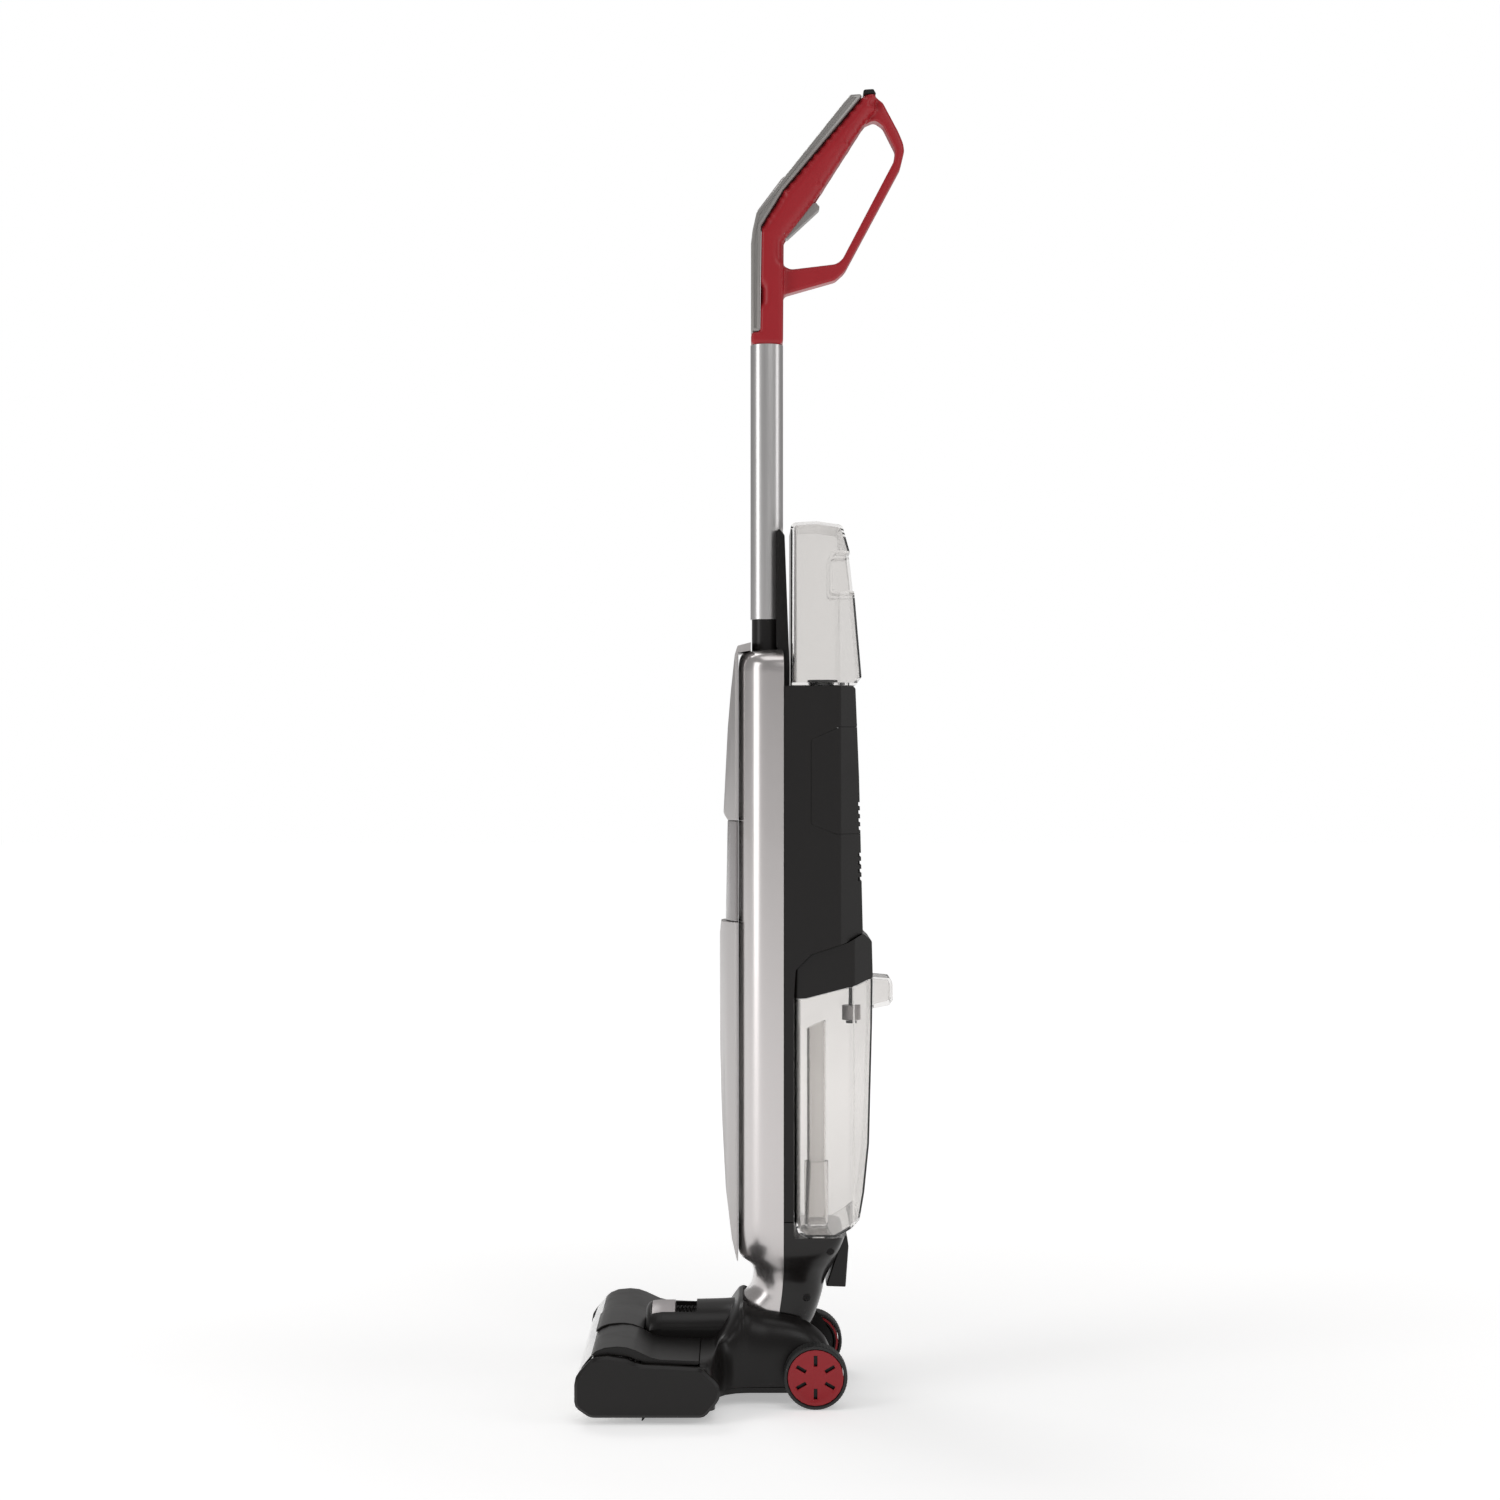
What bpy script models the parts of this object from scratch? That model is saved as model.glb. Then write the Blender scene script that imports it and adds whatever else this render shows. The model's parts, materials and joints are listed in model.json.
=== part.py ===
"""Upright wet dry floor scrubber, standing on its wheels and roller.

Metres, +Z up, origin on the floor at the middle of the bounding box.
The brush head is at the front (-Y), the tanks and handle loop at the rear (+Y).
Left is +X.  Run with: blender --background --python part.py
"""
import math

import bmesh
import bpy
from mathutils import Matrix, Vector

# ---------------------------------------------------------------- driving dimensions (metres)
GAP = 0.0003              # between pieces that touch
WALL = 0.0025             # casing walls
CLEAR_WALL = 0.0023       # walls of the moulded tanks

HEAD_HALF = 0.1425        # half the width of the head over its end caps
CAP_THICK = 0.0097        # end cap, outside to inside
HEAD_FRONT = -0.142       # foremost point of the end caps
BODY_HALF = 0.060         # half the width of the upright body
NECK_HALF = 0.038         # half the width of the neck
TANK_HALF = 0.0565        # half the width of the tanks
SEAM_Y = 0.0348           # seam between the bright front shell and the black rear

ROLLER_Y = -0.107         # roller axis
ROLLER_R = 0.026
ROLLER_Z = ROLLER_R       # it rests on the floor
CORE_R = 0.0165
PULLEY_R = 0.012          # pulley at the end of the roller core
MOTOR_PULLEY_R = 0.008
MOTOR_Y = -0.050          # brush motor axis
MOTOR_Z = 0.0305
BELT_X = (0.1165, 0.1235) # the belt's two edges
BELT_THICK = 0.0014

WHEEL_Y = 0.06175         # wheel axle
WHEEL_R = 0.0275
WHEEL_X = (0.067, 0.087)  # inner and outer face of the left tyre
HUB_R = 0.0240
AXLE_R = 0.0035

PIVOT_Y = 0.045           # the upright tips back about this axis
PIVOT_Z = 0.038
KNUCKLE_R = 0.017
PIN_R = 0.005
BOOT_HALF = 0.0415        # half the width of the well that the neck stands in

PAN_LOW = 0.0094          # underside of the head
PAN_TOP = 0.014
DECK = 0.0475             # top of the upper shell under the brush cover
BOARD_Z = (0.430, 0.560)  # control board

TUBE_Y = 0.0203           # middle of the handle tube
TUBE_SIZE = (0.0175, 0.0144)   # half sizes of the oval tube along X and Y
TUBE_Z = (0.6813, 0.9240)
TUBE_WALL = 0.0016

GRIP_HALF = 0.0165        # half the thickness of the grip
BAR_HALF = 0.0095         # half the thickness of the loop's bars

MOTOR_AXIS_Y = 0.072      # vacuum motor, fan and tank opening
STANDPIPE_Y = 0.065
CAP_Y = 0.070             # clean tank cap
FLOAT_Y = 0.095
LID_TILT = math.radians(18.3)

LATCH_Y = -0.070          # where the sliding pieces' axes pass
LATCH_Z = 0.070
MODE_PLACE = (0.0245, 1.0580)
FAN_Z = 0.430
BATTERY_Z = 0.540
CAP_Z = 0.620
FLOAT_Z = 0.3335
RELEASE_Z = 0.379
TANK_FLOOR = 0.1425

FINE = 32                 # sides of a large round piece
COARSE = 16               # sides of a small round piece

TO_YZ = Matrix(((0, 0, 1, 0), (1, 0, 0, 0), (0, 1, 0, 0), (0, 0, 0, 1)))
TO_XY = Matrix.Identity(4)
TO_XZ = Matrix(((1, 0, 0, 0), (0, 0, -1, 0), (0, 1, 0, 0), (0, 0, 0, 1)))
PLANES = {"X": TO_YZ, "Z": TO_XY, "Y": TO_XZ}


# ---------------------------------------------------------------- scene set-up
def clear_scene():
    """Remove every object that the file starts with."""
    for item in list(bpy.data.objects):
        bpy.data.objects.remove(item, do_unlink=True)


def new_collection(name):
    group = bpy.data.collections.new(name)
    bpy.context.scene.collection.children.link(group)
    return group


clear_scene()
PARTS = new_collection("floor_scrubber")
CUTTERS = new_collection("cutters")


def material(name, colour, roughness, metallic=0.0):
    """A Principled material in one plain colour."""
    result = bpy.data.materials.new(name)
    result.use_nodes = True
    shader = result.node_tree.nodes["Principled BSDF"]
    shader.inputs["Base Color"].default_value = (*colour, 1.0)
    shader.inputs["Roughness"].default_value = roughness
    shader.inputs["Metallic"].default_value = metallic
    return result


SILVER = material("silver_lacquer", (0.55, 0.52, 0.51), 0.22, 0.9)
PANEL_GREY = material("panel_grey", (0.56, 0.53, 0.53), 0.35, 0.4)
INSERT_GREY = material("insert_grey", (0.25, 0.23, 0.23), 0.4, 0.3)
BLACK = material("black_plastic", (0.022, 0.020, 0.019), 0.35)
SOFT_BLACK = material("black_rubber", (0.012, 0.012, 0.012), 0.75)
RED = material("red_plastic", (0.30, 0.014, 0.020), 0.30)
TRIM_GREY = material("trim_grey", (0.27, 0.26, 0.25), 0.35, 0.3)
CLEAR = material("clear_plastic", (0.60, 0.57, 0.55), 0.05)
ALUMINIUM = material("satin_aluminium", (0.60, 0.60, 0.61), 0.28, 1.0)
STEEL = material("steel", (0.45, 0.45, 0.46), 0.35, 1.0)
BUTTON_GREY = material("button_grey", (0.45, 0.42, 0.42), 0.30)
WHITE_PILE = material("white_pile", (0.85, 0.84, 0.81), 0.95)
COPPER = material("copper_windings", (0.45, 0.20, 0.09), 0.40, 0.9)
BOARD_GREEN = material("circuit_board", (0.02, 0.12, 0.05), 0.50)
FOAM = material("filter_foam", (0.10, 0.11, 0.12), 0.95)


# ---------------------------------------------------------------- outlines
def outline(corners, step=math.radians(22.5)):
    """Corners (a, b) or (a, b, radius) turned into points, with an arc at each radius."""
    points = []
    for index, corner in enumerate(corners):
        here = Vector(corner[:2])
        if len(corner) < 3:
            points.append(here)
            continue
        radius = corner[2]
        before = (Vector(corners[index - 1][:2]) - here).normalized()
        after = (Vector(corners[(index + 1) % len(corners)][:2]) - here).normalized()
        half = before.angle(after) / 2
        centre = here + (before + after).normalized() * radius / math.sin(half)
        start = here + before * radius / math.tan(half) - centre
        end = here + after * radius / math.tan(half) - centre
        turn = math.atan2(start.cross(end), start.dot(end))
        pieces = max(1, round(abs(turn) / step))
        for piece in range(pieces + 1):
            points.append(centre + Matrix.Rotation(turn * piece / pieces, 2) @ start)
    return [tuple(point) for point in points]


def both_sides(corners):
    """A plan outline from its +X half, mirrored at x = 0."""
    other = [(-corner[0], *corner[1:]) for corner in reversed(corners)]
    return outline(corners + other)


# ---------------------------------------------------------------- solids
def finish(item, group, skin):
    """Put an object in its collection with its material, or make it a cutter."""
    for old in list(item.users_collection):
        old.objects.unlink(item)
    group.objects.link(item)
    if group is CUTTERS:
        item.hide_render = True
        item.display_type = "WIRE"
    elif skin:
        item.data.materials.clear()
        item.data.materials.append(skin)
    return item


def mesh_of(item, flat_faces=False):
    """A mesh object with the evaluated shape of a curve, its caps welded on."""
    bpy.context.view_layer.update()
    graph = bpy.context.evaluated_depsgraph_get()
    mesh = bpy.data.meshes.new_from_object(item.evaluated_get(graph), depsgraph=graph)
    mesh.transform(item.matrix_world)
    work = bmesh.new()
    work.from_mesh(mesh)
    bmesh.ops.remove_doubles(work, verts=work.verts, dist=0.00002)
    if flat_faces:
        bmesh.ops.dissolve_limit(work, angle_limit=0.001, verts=work.verts, edges=work.edges)
    bmesh.ops.recalc_face_normals(work, faces=work.faces)
    work.to_mesh(mesh)
    work.free()
    result = bpy.data.objects.new(item.name, mesh)
    name = item.name
    bpy.data.objects.remove(item, do_unlink=True)
    result.name = name
    return result


def prism(name, loops, low, high, axis, skin=None):
    """Flat outline, with holes where later loops lie inside it, extruded along an axis."""
    curve = bpy.data.curves.new(name, "CURVE")
    curve.dimensions = "2D"
    curve.fill_mode = "BOTH"
    curve.extrude = (high - low) / 2
    for loop in loops:
        spline = curve.splines.new("POLY")
        spline.points.add(len(loop) - 1)
        for point, place in zip(spline.points, loop):
            point.co = (*place, 0.0, 1.0)
        spline.use_cyclic_u = True
    guide = bpy.data.objects.new(name, curve)
    bpy.context.scene.collection.objects.link(guide)
    middle = (low + high) / 2
    shift = -middle if axis == "Y" else middle
    guide.matrix_world = PLANES[axis] @ Matrix.Translation((0, 0, shift))
    return finish(mesh_of(guide, True), PARTS if skin else CUTTERS, skin)


def box(name, low, high, skin=None):
    """Box between two corners."""
    centre = [(a + b) / 2 for a, b in zip(low, high)]
    bpy.ops.mesh.primitive_cube_add(size=1, location=centre)
    item = bpy.context.object
    item.name = name
    item.scale = [b - a for a, b in zip(low, high)]
    bpy.ops.object.transform_apply(location=False, rotation=False, scale=True)
    return finish(item, PARTS if skin else CUTTERS, skin)


def rod(name, start, end, radius, skin=None, sides=COARSE):
    """Cylinder from one point to another."""
    start = Vector(start)
    end = Vector(end)
    bpy.ops.mesh.primitive_cylinder_add(vertices=sides, radius=radius, depth=(end - start).length)
    item = bpy.context.object
    item.name = name
    item.location = (start + end) / 2
    item.rotation_euler = (end - start).to_track_quat("Z", "Y").to_euler()
    return finish(item, PARTS if skin else CUTTERS, skin)


def turned(name, profile, origin, axis, skin=None, steps=FINE):
    """Closed profile of (radius, height) corners turned about an axis through the origin."""
    mesh = bpy.data.meshes.new(name)
    points = [(radius, 0.0, height) for radius, height in profile]
    count = len(points)
    edges = [(i, (i + 1) % count) for i in range(count)]
    if profile[0][0] == 0.0:
        edges = edges[:-1]
    mesh.from_pydata(points, edges, [])
    item = bpy.data.objects.new(name, mesh)
    bpy.context.scene.collection.objects.link(item)
    item.location = origin
    item.rotation_euler = Vector(axis).to_track_quat("Z", "Y").to_euler()
    screw = item.modifiers.new("turn", "SCREW")
    screw.steps = steps
    screw.render_steps = steps
    screw.use_merge_vertices = True
    screw.merge_threshold = 0.00001
    return finish(item, PARTS if skin else CUTTERS, skin)


def hose(name, points, radius, wall, skin, bends=5, sides=3):
    """Open tube with a wall, along a smooth route through the points."""
    route = smooth_route([Vector(point) for point in points], bends)
    item = wire(name, route, radius, sides, False)
    item = finish(mesh_of(item), PARTS, skin)
    shell = item.modifiers.new("wall", "SOLIDIFY")
    shell.thickness = wall
    shell.offset = -1
    return item


def wire(name, route, radius, sides, capped):
    """Curve object with a round section along a route."""
    curve = bpy.data.curves.new(name, "CURVE")
    curve.dimensions = "3D"
    curve.bevel_depth = radius
    curve.bevel_resolution = sides
    curve.use_fill_caps = capped
    spline = curve.splines.new("POLY")
    spline.points.add(len(route) - 1)
    for point, place in zip(spline.points, route):
        point.co = (*place, 1.0)
    item = bpy.data.objects.new(name, curve)
    bpy.context.scene.collection.objects.link(item)
    return item


def smooth_route(points, bends):
    """Catmull-Rom curve through the points, with some extra points in each span."""
    padded = [2 * points[0] - points[1], *points, 2 * points[-1] - points[-2]]
    route = []
    for a, b, c, d in zip(padded, padded[1:], padded[2:], padded[3:]):
        for step in range(bends):
            t = step / bends
            route.append(0.5 * (2 * b + (c - a) * t + (2 * a - 5 * b + 4 * c - d) * t ** 2
                                + (3 * b - a - 3 * c + d) * t ** 3))
    return route + [points[-1]]


# ---------------------------------------------------------------- joining and cutting
def combine(target, others, operation):
    for other in others:
        step = target.modifiers.new(operation.lower() + "_" + other.name, "BOOLEAN")
        step.operation = operation
        step.object = other
        step.solver = "EXACT"
    return target


def cut(target, *others):
    return combine(target, others, "DIFFERENCE")


def join(target, *others):
    return combine(target, others, "UNION")


def common(target, *others):
    return combine(target, others, "INTERSECT")


def bevel(item, width, segments=2, angle=40):
    """Round the edges sharper than an angle."""
    edge = item.modifiers.new("round", "BEVEL")
    edge.width = width
    edge.segments = segments
    edge.limit_method = "ANGLE"
    edge.angle_limit = math.radians(angle)
    return item


# ---------------------------------------------------------------- head: pan and shells
def head_plan(inset, front, narrow=0.062, rear=0.076):
    """T-shaped plan of the head behind the roller, its walls moved in by the inset."""
    wide = HEAD_HALF - CAP_THICK - GAP - inset
    return both_sides([(wide, front), (wide, -0.024 - inset, 0.010), (narrow - inset, -0.024 - inset, 0.028),
                       (narrow - inset, rear - inset)])


def chamber_arc(inner, outer, start, end):
    """Arc-shaped outline round the roller, from one angle to another above the +Y axis."""
    steps = 9
    angles = [math.radians(start + (end - start) * i / steps) for i in range(steps + 1)]
    rim = [(ROLLER_Y + outer * math.cos(a), ROLLER_Z + outer * math.sin(a)) for a in angles]
    back = [(ROLLER_Y + inner * math.cos(a), ROLLER_Z + inner * math.sin(a)) for a in reversed(angles)]
    return rim + back


def make_head_base():
    """Pan with a low rim, the curved wall behind the roller and the suction mouth."""
    half = HEAD_HALF - CAP_THICK - GAP
    pan = prism("head_base", [head_plan(0, -0.076)], PAN_LOW, PAN_TOP, "Z", BLACK)
    hollow = prism("pan_hollow", [head_plan(WALL, -0.0735)], PAN_LOW + WALL, PAN_TOP + 0.01, "Z")
    inside = half - 0.0006
    front_wall = box("pan_front_wall", (-inside, -0.0757, PAN_LOW + 0.001), (inside, -0.0732, 0.030))
    arc = prism("chamber_wall", [chamber_arc(0.029, 0.0315, -18, 58)], -half + 0.0003, half - 0.0003, "X")
    mouth = rod("suction_mouth", (0, -0.090, 0.024), (0, -0.070, 0.024), 0.0095)
    notch = box("pan_notch", (-BOOT_HALF, 0.062, 0), (BOOT_HALF, 0.080, 0.03))
    belt_way = box("belt_way", (BELT_X[0] - 0.0025, -0.10, 0.0145), (BELT_X[1] + 0.0025, -0.07, 0.06))
    cut(pan, hollow)
    join(pan, front_wall, arc)
    return cut(pan, mouth, notch, belt_way)


def cheek_side(inset):
    """Side view of the cheeks that stand on both sides of the neck."""
    i = inset
    return outline([(-0.0365 + i, 0.003 - i), (-0.0365 + i, 0.0505 - i), (-0.0200, 0.0530 - i),
                    (-0.0020 + i, 0.0640 - i), (0.0060 + i, 0.0725 - i), (0.0200, 0.0742 - i),
                    (0.0430, 0.0712 - i), (0.0595 - i, 0.0672 - i), (0.0730 - i, 0.0540 - i),
                    (0.0760 - i, 0.0400), (0.0760 - i, 0.003 - i)])


def ridge_side(inset):
    """Side view of the raised ridge from the latch to the collar in front of the neck."""
    i = inset
    return outline([(-0.0865 + i, 0.0585 + i), (-0.0825 + i, 0.0755 - i), (-0.0730, 0.0782 - i),
                    (-0.0080, 0.0790 - i), (-0.0030, 0.0850 - i), (0.0037, 0.0857 - i), (0.0037, 0.002 - i),
                    (-0.0700 + i, 0.002 - i), (-0.0700 + i, 0.0585 + i)])


def upper_solid(name, inset, low, skin=None):
    """Deck, cheeks and ridge as one solid, its walls moved in by the inset."""
    plan = head_plan(inset, -0.073 + inset, 0.060, 0.070)
    deck = prism(name, [plan], 0.001 - inset, 0.0520 - inset, "Z", skin)
    ledge = box(name + "_ledge", (-0.2, -0.10, DECK - inset), (0.2, -0.0372 + inset, 0.2))
    cheeks = bevel(prism(name + "_cheeks", [cheek_side(inset)], -0.062 + inset, 0.062 - inset, "X"),
                   0.0060 - inset, 2, 30)
    ridge = bevel(prism(name + "_ridge", [ridge_side(inset)], -0.035 + inset, 0.035 - inset, "X"),
                  0.0035 - inset, 1, 30)
    below = box(name + "_below", (-0.2, -0.2, -0.2), (0.2, 0.2, low))
    cut(deck, ledge)
    join(deck, cheeks, ridge)
    return cut(deck, below)


def make_head_upper_shell():
    """Upper shell: roof over the motor, ridge for the latch and open well for the neck."""
    shell = upper_solid("head_upper_shell", 0, PAN_TOP + GAP, BLACK)
    hollow = upper_solid("upper_hollow", WALL, 0.0)
    well_walls = box("well_walls", (-BOOT_HALF - WALL, -0.0035, -0.02), (BOOT_HALF + WALL, 0.1, 0.12))
    cut(hollow, well_walls)
    well = box("neck_well", (-BOOT_HALF, -0.0010, 0.0), (BOOT_HALF, 0.1, 0.12))
    hose_hole = rod("hose_hole", (0, -0.008, 0.0405), (0, 0.004, 0.0405), 0.0160)
    hose_entry = rod("hose_entry", (0, -0.080, 0.0245), (0, -0.065, 0.0245), 0.0120)
    belt_entry = box("belt_entry", (BELT_X[0] - 0.002, -0.08, 0.01), (BELT_X[1] + 0.002, -0.06, 0.0425))
    slot = box("latch_slot", (-0.0145, -0.0815, 0.0660), (0.0145, -0.0420, 0.0900))
    shell = cut(shell, hollow, well, hose_hole, hose_entry, belt_entry, slot)
    for side in (-1, 1):
        pin_hole = rod("pin_hole", (side * 0.030, PIVOT_Y, PIVOT_Z), (side * 0.050, PIVOT_Y, PIVOT_Z),
                       PIN_R + GAP)
        axle_hole = rod("axle_hole", (side * 0.055, WHEEL_Y, WHEEL_R), (side * 0.07, WHEEL_Y, WHEEL_R),
                        AXLE_R + GAP)
        cut(shell, pin_hole, axle_hole)
    return shell


def cap_outline(inset=0.0):
    """Outline of an end cap, seen from the side."""
    return outline([(-0.1290 + inset, 0.0059 + inset, 0.010), (HEAD_FRONT + inset, 0.0150 + inset, 0.008),
                    (HEAD_FRONT + inset, 0.0400, 0.016), (-0.1270, 0.0560 - inset, 0.012),
                    (-0.1060, 0.0585 - inset, 0.030), (-0.0880, 0.0505 - inset, 0.020),
                    (-0.0360, 0.0478 - inset, 0.010), (-0.0196 - inset, 0.0330, 0.012),
                    (-0.0196 - inset, 0.0215, 0.012), (-0.0330, 0.0059 + inset, 0.008)])


def make_end_cap(side, name):
    """End cap: a shallow cup with a bearing boss for the roller's journal."""
    inner = HEAD_HALF - CAP_THICK
    low, high = sorted((side * inner, side * HEAD_HALF))
    cap = bevel(prism(name, [cap_outline()], low, high, "X", BLACK), 0.0025, 1, 60)
    pocket = prism(name + "_pocket", [cap_outline(WALL)], *sorted((side * 0.12, side * 0.1395)), "X")
    boss = rod(name + "_boss", (side * inner, ROLLER_Y, ROLLER_Z), (side * 0.1405, ROLLER_Y, ROLLER_Z), 0.0065)
    bore = rod(name + "_bore", (side * 0.12, ROLLER_Y, ROLLER_Z), (side * 0.1385, ROLLER_Y, ROLLER_Z),
               0.0030 + GAP)
    cut(cap, pocket)
    join(cap, boss)
    return cut(cap, bore)


def ribbon(name, points, thick, half, skin):
    """Curved sheet along X: an outline of (y, z) points with a thickness inwards."""
    curve = bpy.data.curves.new(name, "CURVE")
    curve.dimensions = "2D"
    curve.fill_mode = "NONE"
    curve.extrude = half
    spline = curve.splines.new("POLY")
    spline.points.add(len(points) - 1)
    for point, place in zip(spline.points, points):
        point.co = (*place, 0.0, 1.0)
    guide = bpy.data.objects.new(name, curve)
    bpy.context.scene.collection.objects.link(guide)
    guide.matrix_world = TO_YZ
    item = finish(mesh_of(guide), PARTS, skin)
    sheet = item.modifiers.new("sheet", "SOLIDIFY")
    sheet.thickness = thick
    along = Vector(points[-1]) - Vector(points[0])
    outward = Vector((0, -along.y, along.x))
    sheet.offset = -1 if item.data.polygons[0].normal.dot(outward) > 0 else 1
    return item


def make_brush_cover():
    """Arched cover over the roller, notched round the ridge, that lifts off."""
    arch = [(-0.1277, 0.0573), (-0.1240, 0.0604), (-0.1170, 0.0632), (-0.1060, 0.0642), (-0.0980, 0.0634),
            (-0.0910, 0.0610), (-0.0780, 0.0550), (-0.0700, 0.0531), (-0.0375, 0.0518)]
    cover = ribbon("brush_cover", arch, WALL, HEAD_HALF - CAP_THICK - GAP, BLACK)
    notch = box("ridge_notch", (-0.0358, -0.0874, 0.03), (0.0358, -0.02, 0.09))
    return cut(cover, notch)


def make_brush_window():
    """Clear strip across the front, below the cover."""
    front = [(-0.1412, 0.0200), (-0.1415, 0.0300), (-0.1400, 0.0385), (-0.1360, 0.0470), (-0.1281, 0.0569)]
    return ribbon("brush_window", front, 0.0020, HEAD_HALF - CAP_THICK - GAP, CLEAR)


# ---------------------------------------------------------------- head: roller drive
def make_roller():
    """Roller core with its pulley and journals, and the soft sleeve on it."""
    journal = HEAD_HALF - 0.0043
    core = turned("roller_core", [(0, 0.138), (0.003, 0.138), (0.003, 0.1245), (PULLEY_R + 0.002, 0.1245),
                                  (PULLEY_R + 0.002, 0.1238), (PULLEY_R, 0.1238), (PULLEY_R, 0.1162),
                                  (PULLEY_R + 0.002, 0.1162), (PULLEY_R + 0.002, 0.1155), (CORE_R, 0.1140),
                                  (CORE_R, -0.1290), (0.003, -0.1290), (0.003, -journal), (0, -journal)],
                  (0, ROLLER_Y, ROLLER_Z), (1, 0, 0), BUTTON_GREY, 16)
    sleeve = turned("roller_sleeve", [(CORE_R + GAP, 0.112), (ROLLER_R, 0.112), (ROLLER_R, -0.127),
                                      (CORE_R + GAP, -0.127)],
                    (0, ROLLER_Y, ROLLER_Z), (1, 0, 0), WHITE_PILE, FINE)
    return core, sleeve


def make_brush_motor():
    """Brush motor lying along X, with a bore for its pulley's shaft."""
    motor = turned("brush_motor", [(0, 0.1115), (0.005, 0.1115), (0.005, 0.1095), (0.013, 0.1095),
                                   (0.013, 0.050), (0, 0.050)],
                   (0, MOTOR_Y, MOTOR_Z), (1, 0, 0), STEEL, 24)
    bore = rod("motor_bore", (0.100, MOTOR_Y, MOTOR_Z), (0.120, MOTOR_Y, MOTOR_Z), 0.0020 + GAP)
    return cut(motor, bore)


def make_motor_pulley():
    return turned("motor_pulley", [(0, 0.1245), (0.0095, 0.1245), (0.0095, 0.1238), (MOTOR_PULLEY_R, 0.1238),
                                   (MOTOR_PULLEY_R, 0.1162), (0.0095, 0.1162), (0.0095, 0.1155),
                                   (0.0020, 0.1155), (0.0020, 0.1020), (0, 0.1020)],
                  (0, MOTOR_Y, MOTOR_Z), (1, 0, 0), STEEL, 24)


def belt_loop(extra):
    """Outline of a belt run: two arcs joined by the common tangents."""
    big = Vector((ROLLER_Y, ROLLER_Z))
    small = Vector((MOTOR_Y, MOTOR_Z))
    apart = small - big
    heading = math.atan2(apart.y, apart.x)
    lean = math.acos((PULLEY_R - MOTOR_PULLEY_R) / apart.length)
    points = []
    for centre, radius, start, turn in ((big, PULLEY_R + extra, lean, math.tau - 2 * lean),
                                        (small, MOTOR_PULLEY_R + extra, -lean, 2 * lean)):
        for step in range(13):
            angle = heading + start + turn * step / 12
            points.append((centre.x + radius * math.cos(angle), centre.y + radius * math.sin(angle)))
    return points


def make_drive_belt():
    loops = [belt_loop(GAP + BELT_THICK), belt_loop(GAP)]
    return prism("drive_belt", loops, *BELT_X, "X", SOFT_BLACK)


def make_squeegee():
    """Rubber blade behind the roller that just reaches the floor."""
    blade = [(-0.0863, 0.0), (-0.0849, 0.0), (-0.0768, 0.0115), (-0.0768, 0.0145), (-0.0790, 0.0125)]
    return prism("squeegee_blade", [blade], -0.125, 0.125, "X", SOFT_BLACK)


def make_spray_bar():
    half = HEAD_HALF - CAP_THICK - GAP
    return rod("spray_bar", (-half, -0.0840, 0.0512), (half, -0.0840, 0.0512), 0.0022, BLACK, 12)


def make_suction_hose():
    """Flexible hose from the mouth behind the roller up into the neck."""
    route = [(0, -0.0728, 0.024), (0, -0.045, 0.0255), (0, -0.015, 0.033), (0, 0.004, 0.045),
             (0, 0.0135, 0.060), (0, 0.0170, 0.074)]
    return hose("suction_hose", route, 0.0105, 0.0012, SOFT_BLACK, 2, 2)


def make_latch():
    """Sliding button in the ridge that frees the brush cover, with its spring."""
    side = outline([(-0.0812, 0.0640), (-0.0600, 0.0640), (-0.0610, 0.0772, 0.0015),
                    (-0.0740, 0.0765, 0.0030), (-0.0812, 0.0700, 0.0015)])
    button = prism("latch_button", [side], -0.0140, 0.0140, "X", BUTTON_GREY)
    coil = []
    turns = 5
    for step in range(turns * 8 + 1):
        angle = math.tau * step / 8
        coil.append((0.0035 * math.cos(angle), -0.0592 + 0.0165 * step / (turns * 8),
                     0.0695 + 0.0035 * math.sin(angle)))
    spring = finish(mesh_of(wire("latch_spring", coil, 0.0005, 1, True)), PARTS, STEEL)
    return button, spring


# ---------------------------------------------------------------- wheels and pivots
def hub_slots(name, low, high):
    """Six short radial slots in the wheel's face."""
    loops = []
    for index in range(6):
        turn = Matrix.Rotation(math.tau * index / 6, 2)
        slot = [(-0.0016, 0.0095), (0.0016, 0.0095), (0.0016, 0.0188), (-0.0016, 0.0188)]
        loops.append([(WHEEL_Y + (turn @ Vector(p)).x, WHEEL_R + (turn @ Vector(p)).y) for p in slot])
    return prism(name, loops, low, high, "X")


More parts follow.
